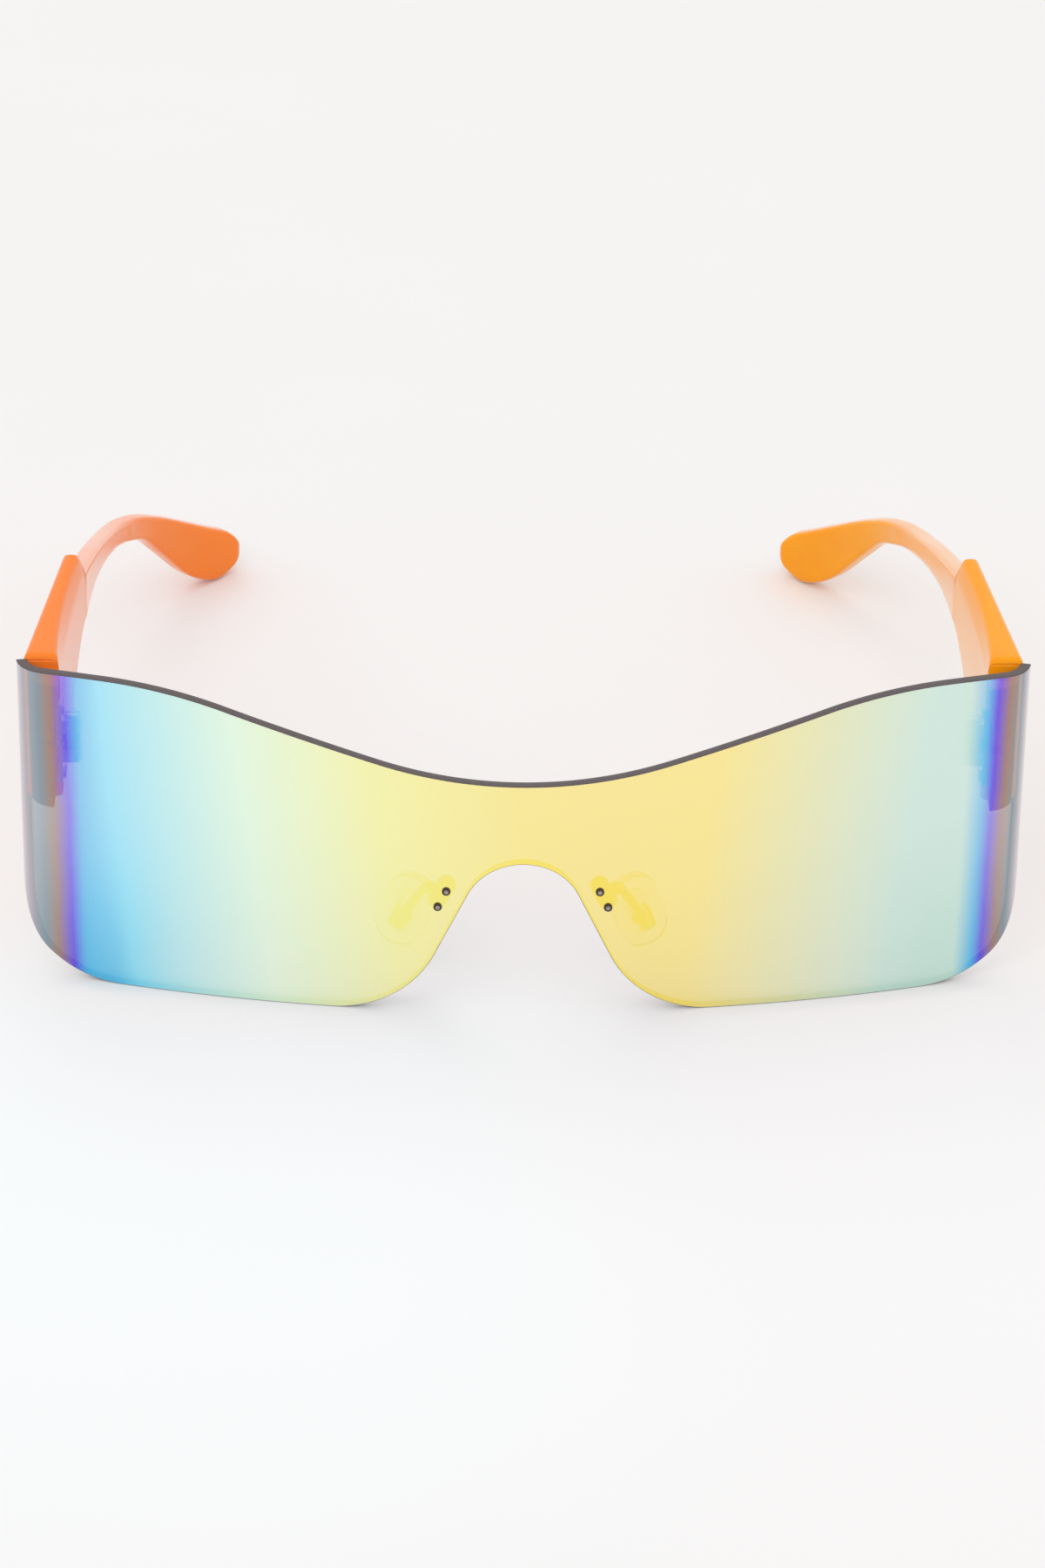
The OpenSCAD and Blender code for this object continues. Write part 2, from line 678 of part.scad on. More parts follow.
placed(-1) pad_screw();  // pad_screw_left
placed() pad_screw();  // pad_screw_right
placed(-1) pad_core();  // pad_core_left
placed() pad_core();  // pad_core_right
placed(-1) nose_pad();  // nose_pad_left
placed() nose_pad();  // nose_pad_right
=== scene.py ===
import json
import math
from contextlib import contextmanager

import bmesh
import bpy
import numpy as np
from mathutils import Matrix, Vector


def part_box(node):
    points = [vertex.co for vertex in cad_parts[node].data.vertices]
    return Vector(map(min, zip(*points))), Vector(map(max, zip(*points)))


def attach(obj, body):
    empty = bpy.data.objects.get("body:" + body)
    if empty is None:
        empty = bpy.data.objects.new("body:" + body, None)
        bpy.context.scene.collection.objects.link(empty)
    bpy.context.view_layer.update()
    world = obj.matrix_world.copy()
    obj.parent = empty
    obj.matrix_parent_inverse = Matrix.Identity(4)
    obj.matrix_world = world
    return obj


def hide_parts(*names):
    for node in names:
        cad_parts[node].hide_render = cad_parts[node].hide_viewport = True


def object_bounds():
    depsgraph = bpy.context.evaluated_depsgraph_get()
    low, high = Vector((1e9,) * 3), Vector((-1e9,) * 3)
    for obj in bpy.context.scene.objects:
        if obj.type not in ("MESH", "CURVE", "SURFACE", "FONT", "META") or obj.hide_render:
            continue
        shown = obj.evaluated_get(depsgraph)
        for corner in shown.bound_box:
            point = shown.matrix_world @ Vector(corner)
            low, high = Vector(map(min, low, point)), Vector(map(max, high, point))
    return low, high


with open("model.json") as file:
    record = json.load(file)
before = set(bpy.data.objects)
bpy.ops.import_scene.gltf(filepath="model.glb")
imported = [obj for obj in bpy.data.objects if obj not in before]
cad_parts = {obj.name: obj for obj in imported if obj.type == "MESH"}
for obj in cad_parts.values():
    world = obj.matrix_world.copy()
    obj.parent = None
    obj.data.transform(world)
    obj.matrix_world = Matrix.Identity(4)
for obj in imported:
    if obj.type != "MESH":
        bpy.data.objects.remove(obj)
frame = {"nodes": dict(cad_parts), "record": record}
cad_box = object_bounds()

MM = 0.001
WHITE = (1.0, 1.0, 1.0)
BLACK = (0.0, 0.0, 0.0)

# Lens: the sheet seen from above, and its outline seen from the front
LENS_RADIUS = 233.7 * MM
FRONT_HALF_WIDTH = 69.5 * MM
CORNER_RADIUS = 5.5 * MM
CORNER_END = math.radians(79)
SHEET = 1.5 * MM
CREST_HEIGHT = 50.85 * MM
MIDDLE_HEIGHT = 38.15 * MM
CREST_X = 61 * MM
DIP_RADIUS = 72 * MM
CURVED_SHARE = 0.8636
SHOULDER_RADIUS = 240 * MM
LOW_CORNER_RADIUS = 16 * MM
LOW_CORNER_TURN = math.radians(25)
ARCH_HEIGHT = 25.2 * MM
ARCH_RADIUS = 8.8 * MM
ARCH_SLOPE = math.radians(65)
FLARE_RADIUS = 16.5 * MM
EDGE_ROUND = 0.09 * MM
LENS_FRONT_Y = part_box("shield_lens")[0].y

FRONT_TURN = math.asin(FRONT_HALF_WIDTH / LENS_RADIUS)
FRONT_ARC = LENS_RADIUS * FRONT_TURN
HALF_SHEET = FRONT_ARC + CORNER_RADIUS * (CORNER_END - FRONT_TURN)

# Mesh steps of the lens: along an edge, up a side, round the cut rim
EDGE_STEPS = 400
SIDE_STEPS = 64
ROUND_STEPS = 4
# Points of the lower edge before it is divided evenly: on each arc of the nose arch, along the
# level stretch, and from this share of the half sheet out to its end
ARCH_STEPS = 60
LEVEL_STEPS = 80
END_STEPS = 6000
END_START = 0.6

# Mirror film: the colours of its bands, as the light that it sends back
GOLD = (1.0, 0.8, 0.1)
LEMON = (0.95, 0.9, 0.25)
MINT = (0.75, 0.95, 0.7)
SKY = (0.2, 0.75, 0.95)
PALE_SEA = (0.55, 0.8, 0.7)
AZURE = (0.05, 0.5, 0.85)
VIOLET = (0.1, 0.05, 0.8)
BRONZE = (0.35, 0.2, 0.15)
SLATE = (0.2, 0.3, 0.35)
SILVER = (0.5, 0.45, 0.5)
# Where the middle of each band lies, as a share of the half sheet. Most of these places and of
# the colours above are readings of the photo, thinned out and rounded, and no free choice
FILM_LEFT = (
    (0.0, GOLD), (0.27, LEMON), (0.52, MINT), (0.79, SKY), (0.85, AZURE),
    (0.875, VIOLET), (0.905, BRONZE), (0.93, SLATE), (0.98, SILVER),
)
FILM_RIGHT = (
    (0.0, GOLD), (0.35, GOLD), (0.75, PALE_SEA), (0.85, PALE_SEA), (0.885, AZURE),
    (0.905, VIOLET), (0.93, BRONZE), (0.955, SLATE), (0.98, SILVER),
)
# Share of the light that the film doesn't send back and lets through, and what the grey sheet
# behind it leaves of any light that crosses it
FILM_PASS = 0.62
SHEET_TINT = (0.41, 0.40, 0.40)
# Share of the light that bare plastic sends back when it is seen straight on
GLANCE = 0.04
# Below this share of the height the bands lie further in, and above it further out, by these
# shares of the half sheet; this fades out between two places near the ends, to a small rest
DRIFT_LEVEL = 0.57
LEFT_DRIFT = 0.082
RIGHT_DRIFT = 0.085
DRIFT_FADE_START = 0.775
DRIFT_FADE_END = 0.85
DRIFT_KEPT = 0.08
# The left drift passes into the right one over this share on each side of the middle, and the
# bands waver by a little over clouds of this size
DRIFT_MEET = 0.1
CLOUD_SIZE = 9 * MM
WAVER = 0.006
# Painted shade, for what lies shaded behind the corners: near the ends the film lets less
# through low down. It sets in between these shares of the half sheet, reaches up to this share
# of the height, and leaves this much at the edge
PAINTED_SHADE_START = 0.60
PAINTED_SHADE_END = 0.83
PAINTED_SHADE_HEIGHT = 0.62
PAINTED_SHADE_REST = 0.25
# A shortcut for the light that falls through the lens on other things: this much passes each
# face, but not to what lies closer behind than the distance given
LIGHT_PASS = (0.91, 0.895, 0.905)
CLOSE_BEHIND = 4 * MM

# Temples: a deep block behind the lens's end, a step at its rear, and a slender arm that hooks
# in towards its tip
TEMPLE_LENGTH = 124.8 * MM
BUTT_GAP = 0.1 * MM
BLOCK_LENGTH = 31.4 * MM
BLOCK_HEIGHT = 23.4 * MM
BLOCK_WIDTH = 5.2 * MM
BLOCK_LEAN = math.radians(7.2)
BLOCK_INSET = 1.0 * MM
BLOCK_RISE = 0.35 * MM
SEAT_DEPTH = 0.65 * MM
HOLLOW_RADIUS = 130 * MM
HOLLOW_SHARE = 0.32
FRONT_ROUND = 0.9 * MM
LOW_DRIFT = 1.95 * MM
SWEEP_START = 0.13
SWEEP_END = 1.18
SWEEP_TOP = 0.841
STEP_DROP = 3.4 * MM
STEP_LENGTH = 1.3 * MM
ARM_WIDTH = 3.1 * MM
TIP_IN = 20.8 * MM
SHOULDER_SHARE = 0.35
LONG_EDGE = 1.0 * MM
END_EDGE = 0.18 * MM
# Shares of the arm's length, inward bend, height of its top and underside, and thickness. Most
# of them were worked out by a separate script, so they are data and not a design
ARM_STATIONS = (
    (0.000, 0.000, 1.000, 0.828, 1.00),
    (0.092, 0.004, 0.934, 0.793, 1.00),
    (0.200, 0.011, 0.855, 0.742, 1.00),
    (0.309, 0.023, 0.775, 0.678, 1.00),
    (0.418, 0.038, 0.692, 0.606, 1.00),
    (0.515, 0.057, 0.617, 0.537, 1.02),
    (0.613, 0.090, 0.545, 0.467, 1.04),
    (0.700, 0.153, 0.483, 0.400, 1.06),
    (0.776, 0.268, 0.424, 0.330, 1.08),
    (0.841, 0.417, 0.356, 0.204, 1.10),
    (0.901, 0.595, 0.278, 0.070, 1.10),
    (0.950, 0.783, 0.208, 0.004, 1.06),
    (0.978, 0.900, 0.170, -0.008, 1.02),
    (0.99909, 1.005, 0.140, -0.010, 1.00),
)
# The tip is rounded over these lengths above, below and across the line at this share of its
# height
TIP_ABOVE = 3.8 * MM
TIP_BELOW = 8.0 * MM
TIP_ACROSS = 1.8 * MM
TIP_LINE = 0.6
# Rings of the skin: round the block's front, through the block, along the arm, round the tip
FRONT_RINGS = 7
BLOCK_RINGS = 28
ARM_PITCH = 0.8 * MM
TIP_RINGS = 20
# Steps between two stations, points round a long edge, and the most of a side that it takes up
STATION_STEPS = 12
CORNER_POINTS = 6
CORNER_LIMIT = 0.45

# Pads: voxel of the remesh, and passes and strength of the smoothing that rounds them
PAD_VOXEL = 0.16 * MM
PAD_SMOOTHING = 14
PAD_SOFTENING = 0.5
MERGE_DISTANCE = 0.002 * MM

# Nose pins: head, shank and the sides of both
HEAD_RADIUS = 0.62 * MM
HEAD_HEIGHT = 0.35 * MM
PIN_RADIUS = 0.5 * MM
PIN_SIDES = 32
# Shares of the head's height: the collar's wall, the slope above it, and where the pin's domed
# end sits; shares of its radius: the top of the slope, and the dome
COLLAR_WALL = 0.5
SLOPE_RISE = 0.32
DOME_PLACE = 0.82
SLOPE_TOP = 0.74
DOME_WIDTH = 0.52
DOME_FLATNESS = 0.17

# Broken edges: their width, their steps, and the edges that get one; faces that turn by less
# than the last angle are made one first
METAL_BEVEL = 0.07 * MM
PLASTIC_BEVEL = 0.15 * MM
BEVEL_STEPS = 2
BEVEL_FROM = math.radians(40)
FLAT_WITHIN = math.radians(0.5)
# Edges that turn by more than this stay crisp in the smooth shading
LENS_CRISP = math.radians(50)
TEMPLE_CRISP = math.radians(38)
METAL_CRISP = math.radians(35)

# Painted light: the orange goes from its redder left to its yellower right tone, as it was lit,
# between these places, left and right
ORANGE_LIGHT_SPAN = 60 * MM
# The part of a noise's range in which most of it lies
NOISE_LOW = 0.3
NOISE_HIGH = 0.7

# Camera: a long lens, looking down on the pair from the front
CAMERA_PLACE = Vector((-15.4, -760.6, 437.5)) * MM
CAMERA_DOWN = math.radians(30)
CAMERA_TURN = math.radians(1.25)
CAMERA_ROLL = math.radians(0.86)
# Focal length and sensor in millimetres, and the nearest and furthest that the camera sees
CAMERA_LENS = 128
CAMERA_SENSOR = 36
CAMERA_NEAR = 0.01
CAMERA_FAR = 60


# Small helpers for meshes and objects

def add_object(name, mesh):
    piece = bpy.data.objects.new(name, mesh)
    bpy.context.scene.collection.objects.link(piece)
    return piece


def body_of(node):
    bodies = frame["record"]["behaviour"]["bodies"]
    return next(body for body, members in bodies.items() if node in members)


def baked(piece):
    """The piece with its modifiers turned into plain mesh."""
    depsgraph = bpy.context.evaluated_depsgraph_get()
    mesh = bpy.data.meshes.new_from_object(piece.evaluated_get(depsgraph), depsgraph=depsgraph)
    piece.modifiers.clear()
    piece.data = mesh
    return piece


def stands_for(piece, node):
    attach(piece, body_of(node))
    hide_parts(node)
    return piece


@contextmanager
def edited(mesh):
    """Opens a mesh for edits and writes them back to it."""
    edit = bmesh.new()
    edit.from_mesh(mesh)
    yield edit
    edit.to_mesh(mesh)
    edit.free()


def copied(node, name):
    """A copy of a CAD node's mesh, its loose triangles joined."""
    piece = add_object(name, frame["nodes"][node].data.copy())
    with edited(piece.data) as edit:
        bmesh.ops.remove_doubles(edit, verts=edit.verts, dist=MERGE_DISTANCE)
    return piece


def smooth_but(mesh, crisp):
    """Shades a mesh smooth, but for the edges that turn by more than the given angle."""
    mesh.polygons.foreach_set("use_smooth", [True] * len(mesh.polygons))
    mesh.set_sharp_from_angle(angle=crisp)


def faces_between(ring, count):
    """Faces that join one closed ring of points to the next."""
    here = ring * count + np.arange(count)
    after = ring * count + (np.arange(count) + 1) % count
    return np.stack([here, here + count, after + count, after], axis=-1).tolist()


def dress(piece, material):
    piece.data.materials.clear()
    piece.data.materials.append(material)
    return piece


# Small helpers for node trees

class Nodes:
    """A node tree, with short calls for the nodes that materials, shapes and the sky share."""

    def __init__(self, tree):
        self.tree = tree

    def add(self, kind, **settings):
        node = self.tree.nodes.new(kind)
        for key, value in settings.items():
            setattr(node, key, value)
        return node

    def feed(self, socket, value):
        """Links a socket to another one, or sets its own value. A colour has three shares."""
        if isinstance(value, bpy.types.NodeSocket):
            self.tree.links.new(value, socket)
        elif socket.type == "RGBA":
            socket.default_value = (*value, 1.0)
        else:
            socket.default_value = value

    def result(self, kind, *values, **settings):
        """The first result of a node whose inputs are fed in their order."""
        node = self.add(kind, **settings)
        for socket, value in zip(node.inputs, values):
            self.feed(socket, value)
        return node.outputs[0]

    def shade(self, kind, **values):
        """A shader of one kind, its inputs fed by their names."""
        node = self.add(f"ShaderNode{kind}")
        for key, value in values.items():
            self.feed(node.inputs[key.replace("_", " ")], value)
        return node.outputs[0]

    def maths(self, operation, *values):
        return self.result("ShaderNodeMath", *values, operation=operation)

    def parts(self, vector):
        """The X, Y and Z of a vector."""
        node = self.add("ShaderNodeSeparateXYZ")
        self.feed(node.inputs[0], vector)
        return node.outputs

    def seen(self):
        """1 for a ray from the camera, a mirror or through glass, 0 for light that falls."""
        path = self.add("ShaderNodeLightPath").outputs
        most = self.maths("MAXIMUM", path["Is Camera Ray"], path["Is Glossy Ray"])
        return self.maths("MAXIMUM", most, path["Is Transmission Ray"])


class Recipe(Nodes):
    """A material's node tree, with short calls for its textures and finishes."""

    def __init__(self, name):
        self.material = bpy.data.materials.new(name)
        self.material.use_nodes = True
        super().__init__(self.material.node_tree)
        self.tree.nodes.clear()
        self.output = self.add("ShaderNodeOutputMaterial")

    def place(self):
        return self.add("ShaderNodeTexCoord").outputs["Object"]

    def stretched(self, scale):
        node = self.add("ShaderNodeMapping")
        self.feed(node.inputs["Vector"], self.place())
        self.feed(node.inputs["Scale"], scale)
        return node.outputs[0]

    def noise(self, vector, size, detail=3.0):
        node = self.add("ShaderNodeTexNoise")
        self.feed(node.inputs["Vector"], vector)
        self.feed(node.inputs["Scale"], 1 / size)
        self.feed(node.inputs["Detail"], detail)
        return node.outputs["Fac"]

    def between(self, value, low, high, to_low, to_high, smooth=False):
        """A value that goes from one number to another while the given one does."""
        style = "SMOOTHSTEP" if smooth else "LINEAR"
        numbers = (value, low, high, to_low, to_high)
        return self.result("ShaderNodeMapRange", *numbers, interpolation_type=style)

    def spread(self, noise, low, high):
        """A noise, spread between two numbers."""
        return self.between(noise, NOISE_LOW, NOISE_HIGH, low, high)

    def blend(self, factor, first, second, how="MIX"):
        node = self.add("ShaderNodeMix", data_type="RGBA", blend_type=how)
        self.feed(node.inputs["Factor"], factor)
        self.feed(node.inputs["A"], first)
        self.feed(node.inputs["B"], second)
        return node.outputs["Result"]

    def ramp(self, value, stops):
        """The colours of some stops, blended by where a value lies between them."""
        node = self.add("ShaderNodeValToRGB")
        self.feed(node.inputs["Fac"], value)
        elements = node.color_ramp.elements
        while len(elements) < len(stops):
            elements.new(1.0)
        for element, (share, _) in zip(elements, stops):
            element.position = share
        for element, (_, colour) in zip(elements, stops):
            element.color = (*colour, 1.0)
        return node.outputs["Color"]

    def bump(self, height, distance, strength=1.0):
        node = self.add("ShaderNodeBump")
        self.feed(node.inputs["Height"], height)
        self.feed(node.inputs["Distance"], distance)
        self.feed(node.inputs["Strength"], strength)
        return node.outputs["Normal"]

    def principled(self, **values):
        return self.shade("BsdfPrincipled", **values)

    def lit_through(self, shader):
        """The shader as it is seen, and near clear for the light that falls on other things."""
        path = self.add("ShaderNodeLightPath").outputs
        falling = self.maths("MAXIMUM", path["Is Shadow Ray"], path["Is Diffuse Ray"])
        far = self.maths("GREATER_THAN", path["Ray Length"], CLOSE_BEHIND)
        clear = self.shade("BsdfTransparent", Color=LIGHT_PASS)
        factor = self.maths("MULTIPLY", falling, far)
        return self.result("ShaderNodeMixShader", factor, shader, clear)

    def finish(self, shader):
        self.feed(self.output.inputs["Surface"], shader)
        return self.material


# Materials

def mirror_film():
    """Mirror film on the lens's front: it sends back one colour and lets the rest through."""
    r = Recipe("mirror film")
    chart = r.parts(r.add("ShaderNodeUVMap", uv_map="UVMap").outputs["UV"])
    height = chart["Y"]
    side = r.maths("SUBTRACT", chart["X"], 0.5)
    share = r.maths("MULTIPLY", r.maths("ABSOLUTE", side), 2.0)
    fade = r.between(share, DRIFT_FADE_START, DRIFT_FADE_END, 1.0, DRIFT_KEPT, smooth=True)
    low = r.maths("SUBTRACT", DRIFT_LEVEL, height)
    most = r.between(side, -DRIFT_MEET, DRIFT_MEET, LEFT_DRIFT, RIGHT_DRIFT, smooth=True)
    drift = r.maths("MULTIPLY", r.maths("MULTIPLY", low, fade), most)
    cloud = r.noise(r.place(), CLOUD_SIZE, detail=2.0)
    waver = r.maths("MULTIPLY", r.maths("SUBTRACT", cloud, 0.5), WAVER)
    place = r.maths("ADD", r.maths("ADD", share, drift), waver)
    right = r.maths("GREATER_THAN", side, 0.0)
    sent = r.blend(right, r.ramp(place, FILM_LEFT), r.ramp(place, FILM_RIGHT))

    # Painted shade: less passes the film near the ends, low down, for the shade behind the corners
    near_end = r.between(share, PAINTED_SHADE_START, PAINTED_SHADE_END, 0.0, 1.0, smooth=True)
    near_edge = r.between(height, 0.0, PAINTED_SHADE_HEIGHT, 1.0 - PAINTED_SHADE_REST, 0.0, smooth=True)
    unshaded_share = r.maths("SUBTRACT", 1.0, r.maths("MULTIPLY", near_end, near_edge))
    passing = r.maths("MULTIPLY", FILM_PASS, unshaded_share)
    unsent = r.blend(1.0, WHITE, sent, "SUBTRACT")
    passed = r.blend(passing, BLACK, unsent)

    grain = r.noise(r.place(), 0.35 * MM, detail=2.0)
    film = r.principled(
        Base_Color=sent,
        Metallic=1.0,
        Roughness=r.spread(grain, 0.07, 0.11),
        Coat_Weight=1.0,
        Coat_Roughness=0.03,
    )
    through = r.shade("BsdfTransparent", Color=passed)
    return r.finish(r.lit_through(r.result("ShaderNodeAddShader", film, through)))


def tinted_back():
    """The uncoated back of the sheet: grey tinted, with the gloss of plastic."""
    r = Recipe("tinted lens back")
    haze = r.noise(r.place(), 4 * MM)
    gloss = r.principled(
        Base_Color=(0.9, 0.9, 0.92), Metallic=1.0, Roughness=r.spread(haze, 0.03, 0.07)
    )
    clear = r.shade("BsdfTransparent", Color=SHEET_TINT)
    slant = r.maths("POWER", r.add("ShaderNodeLayerWeight").outputs["Facing"], 5.0)
    glance = r.maths("MULTIPLY_ADD", slant, 1 - GLANCE, GLANCE)
    return r.finish(r.lit_through(r.result("ShaderNodeMixShader", glance, clear, gloss)))


def cut_rim():
    """The cut edge of the sheet: dark grey, faintly brown, with the marks of the cutter."""
    r = Recipe("cut lens rim")
    marks = r.noise(r.stretched((1.0, 1.0, 0.25)), 0.25 * MM, detail=4.0)
    cloud = r.noise(r.place(), 3 * MM)
    base = r.blend(r.spread(marks, 0.0, 1.0), (0.045, 0.035, 0.037), (0.13, 0.10, 0.10))
    colour = r.blend(r.between(cloud, 0.35, 0.65, 0.0, 0.5), base, (0.085, 0.065, 0.075))
    return r.finish(
        r.principled(
            Base_Color=colour,
            Roughness=r.spread(marks, 0.3, 0.5),
            Normal=r.bump(marks, 0.03 * MM, 0.6),
        )
    )


def orange_plastic():
    """Glossy moulded orange with painted light, redder on the left and yellower on the right, and
    faint flow marks.
    """
    r = Recipe("orange moulded plastic")
    across = r.parts(r.place())["X"]
    # Painted light: redder on the left and yellower on the right, as the light fell
    side = r.between(across, -ORANGE_LIGHT_SPAN, ORANGE_LIGHT_SPAN, 0.0, 1.0, smooth=True)
    flow = r.noise(r.stretched((1.0, 0.18, 1.0)), 5 * MM)
    base = r.blend(side, (1.0, 0.24, 0.025), (1.0, 0.38, 0.003))
    deeper = r.blend(r.between(flow, 0.35, 0.7, 0.0, 0.2), base, (1.0, 0.20, 0.006))
    peel = r.noise(r.place(), 0.5 * MM, detail=2.0)
    fine = r.noise(r.place(), 0.09 * MM, detail=2.0)
    surface = r.maths("ADD", r.maths("MULTIPLY", peel, 0.7), r.maths("MULTIPLY", fine, 0.3))
    return r.finish(
        r.principled(
            Base_Color=deeper,
            Roughness=r.spread(flow, 0.11, 0.17),
            Specular_IOR_Level=0.2,
            Sheen_Weight=0.4,
            Sheen_Roughness=0.3,
            Subsurface_Weight=0.35,
            Subsurface_Radius=(1.6 * MM, 0.5 * MM, 0.1 * MM),
            Subsurface_Scale=1.0,
            Normal=r.bump(surface, 0.004 * MM, 0.3),
        )
    )


def fine_metal(name, base, dark, roughness):
    """Stamped or turned metal, with fine drawn lines and a little tarnish."""
    r = Recipe(name)
    drawn = r.noise(r.stretched((0.15, 1.0, 1.0)), 0.12 * MM, detail=4.0)
    tarnish = r.noise(r.place(), 1.4 * MM)
    colour = r.blend(r.between(tarnish, 0.4, 0.75, 0.0, 0.6), base, dark)
    return r.finish(
        r.principled(
            Base_Color=colour,
            Metallic=1.0,
            Roughness=r.spread(drawn, roughness - 0.06, roughness + 0.08),
            Normal=r.bump(drawn, 0.01 * MM, 0.4),
        )
    )


def clear_silicone():
    """Soft clear pad: water clear, with a faint bloom on its skin."""
    r = Recipe("clear silicone")
    bloom = r.noise(r.place(), 1.2 * MM)
    veil = r.between(bloom, 0.35, 0.7, 0.0, 1.0)
    colour = r.blend(veil, (0.97, 0.985, 0.985), (0.9, 0.93, 0.93))
    return r.finish(
        r.principled(
            Base_Color=colour,
            Roughness=r.spread(bloom, 0.12, 0.22),
            IOR=1.41,
            Transmission_Weight=0.92,
            Normal=r.bump(bloom, 0.02 * MM, 0.3),
        )
    )


def clear_nylon():
    """Stiff core of a pad: clear, slightly milky."""
    r = Recipe("clear nylon")
    milk = r.noise(r.place(), 0.8 * MM)
    colour = r.blend(milk, (0.97, 0.97, 0.96), (0.9, 0.91, 0.91))
    return r.finish(
        r.principled(
            Base_Color=colour,
            Roughness=r.spread(milk, 0.12, 0.2),
            IOR=1.45,
            Transmission_Weight=0.92,
        )
    )


# Geometry trees

class Tree(Nodes):
    """A geometry tree with named inputs, and short calls for the nodes that it uses."""

    def __init__(self, name, **sizes):
        super().__init__(bpy.data.node_groups.new(name, "GeometryNodeTree"))
        self.sizes = sizes
        face = self.tree.interface
        face.new_socket(name="Geometry", in_out="INPUT", socket_type="NodeSocketGeometry")
        for label, value in sizes.items():
            socket = face.new_socket(name=label, in_out="INPUT", socket_type="NodeSocketFloat")
            socket.default_value = value
        face.new_socket(name="Geometry", in_out="OUTPUT", socket_type="NodeSocketGeometry")
        self.start = self.add("NodeGroupInput")
        self.end = self.add("NodeGroupOutput")
        self.geometry = self.start.outputs["Geometry"]

    def size(self, label):
        return self.start.outputs[label]

    def vector(self, x, y, z):
        return self.result("ShaderNodeCombineXYZ", x, y, z)

    def paint(self, material, selection):
        """Gives the chosen faces of the geometry a material."""
        node = self.add("GeometryNodeSetMaterial")
        self.feed(node.inputs["Geometry"], self.geometry)
        self.feed(node.inputs["Selection"], selection)
        node.inputs["Material"].default_value = material
        self.geometry = node.outputs[0]

    def mark(self, geometry, name, value):
        """The geometry with a named whole number on each of its faces."""
        node = self.add("GeometryNodeStoreNamedAttribute", data_type="INT", domain="FACE")
        self.feed(node.inputs["Geometry"], geometry)
        node.inputs["Name"].default_value = name
        node.inputs["Value"].default_value = value
        return node.outputs[0]

    def marked(self, name, value):
        node = self.add("GeometryNodeInputNamedAttribute", data_type="INT")
        node.inputs["Name"].default_value = name
        return self.maths("COMPARE", node.outputs["Attribute"], value, 0.1)

    def apply(self, piece, name, *materials):
        """Makes the tree's instances real, gives each marked face its material, and turns the
        result into plain mesh."""
        real = self.add("GeometryNodeRealizeInstances")
        self.feed(real.inputs[0], self.geometry)
        self.geometry = real.outputs[0]
        for number, material in enumerate(materials):
            self.paint(material, self.marked(name, number))
        self.feed(self.end.inputs[0], self.geometry)
        modifier = piece.modifiers.new(self.tree.name, "NODES")
        modifier.node_group = self.tree
        for item in self.tree.interface.items_tree:
            if item.in_out == "INPUT" and item.name in self.sizes:
                modifier[item.identifier] = self.sizes[item.name]
        return baked(piece)


# Lens outline

def bent(along, depth=0.0):
    """Where a place along the flat sheet lies, seen from above, once the sheet is bent."""
    run = np.minimum(np.abs(along), FRONT_ARC) / LENS_RADIUS
    turn = run + np.maximum(np.abs(along) - FRONT_ARC, 0) / CORNER_RADIUS
    x = (LENS_RADIUS - CORNER_RADIUS) * np.sin(run) + (CORNER_RADIUS - depth) * np.sin(turn)
    back = (LENS_RADIUS - CORNER_RADIUS) * np.cos(run)
    y = LENS_RADIUS - back - (CORNER_RADIUS - depth) * np.cos(turn)
    return np.sign(along) * x, y


def sheet_end():
    """Where the front face of the sheet ends, seen from above: X and Y."""
    x, y = bent(np.array([HALF_SHEET]))
    return x[0], y[0]


def top_height(x):
    """Height of the top edge: dip, straight, crest and shoulder."""
    x = np.abs(x)
    rise = CREST_HEIGHT - MIDDLE_HEIGHT
    crest_radius = CURVED_SHARE * (CREST_X**2 + rise**2) / (2 * rise) - DIP_RADIUS
    dip_z = MIDDLE_HEIGHT + DIP_RADIUS
    crest_z = CREST_HEIGHT - crest_radius
    apart = math.hypot(CREST_X, dip_z - crest_z)
    slope = math.atan2(CREST_X, dip_z - crest_z) - math.acos((DIP_RADIUS + crest_radius) / apart)
    dip_end = DIP_RADIUS * math.sin(slope)
    crest_start = CREST_X - crest_radius * math.sin(slope)
    dip = dip_z - np.sqrt(DIP_RADIUS**2 - np.minimum(x, dip_end) ** 2)
    straight = dip_z - DIP_RADIUS * math.cos(slope) + (x - dip_end) * math.tan(slope)
    inside = np.clip(CREST_X - x, 0, CREST_X - crest_start)
    crest = crest_z + np.sqrt(crest_radius**2 - inside**2)
    outside = np.maximum(x - CREST_X, 0)
    shoulder = CREST_HEIGHT - SHOULDER_RADIUS + np.sqrt(SHOULDER_RADIUS**2 - outside**2)
    return np.select([x < dip_end, x < crest_start, x < CREST_X], [dip, straight, crest], shoulder)


def arch_points():
    """The lower edge from the middle of the nose arch out to where it runs level: X and Z."""
    crown = np.linspace(0, ARCH_SLOPE, ARCH_STEPS)
    crown_x = ARCH_RADIUS * np.sin(crown)
    crown_z = ARCH_HEIGHT - ARCH_RADIUS + ARCH_RADIUS * np.cos(crown)
    drop = crown_z[-1] + FLARE_RADIUS * math.cos(ARCH_SLOPE) - FLARE_RADIUS
    flank = drop / math.sin(ARCH_SLOPE)
    start_x = crown_x[-1] + flank * math.cos(ARCH_SLOPE)
    centre_x = start_x + FLARE_RADIUS * math.sin(ARCH_SLOPE)
    flare = np.linspace(ARCH_SLOPE, 0, ARCH_STEPS)
    flare_x = centre_x - FLARE_RADIUS * np.sin(flare)
    flare_z = FLARE_RADIUS - FLARE_RADIUS * np.cos(flare)
    return np.concatenate([crown_x, flare_x]), np.concatenate([crown_z, flare_z])


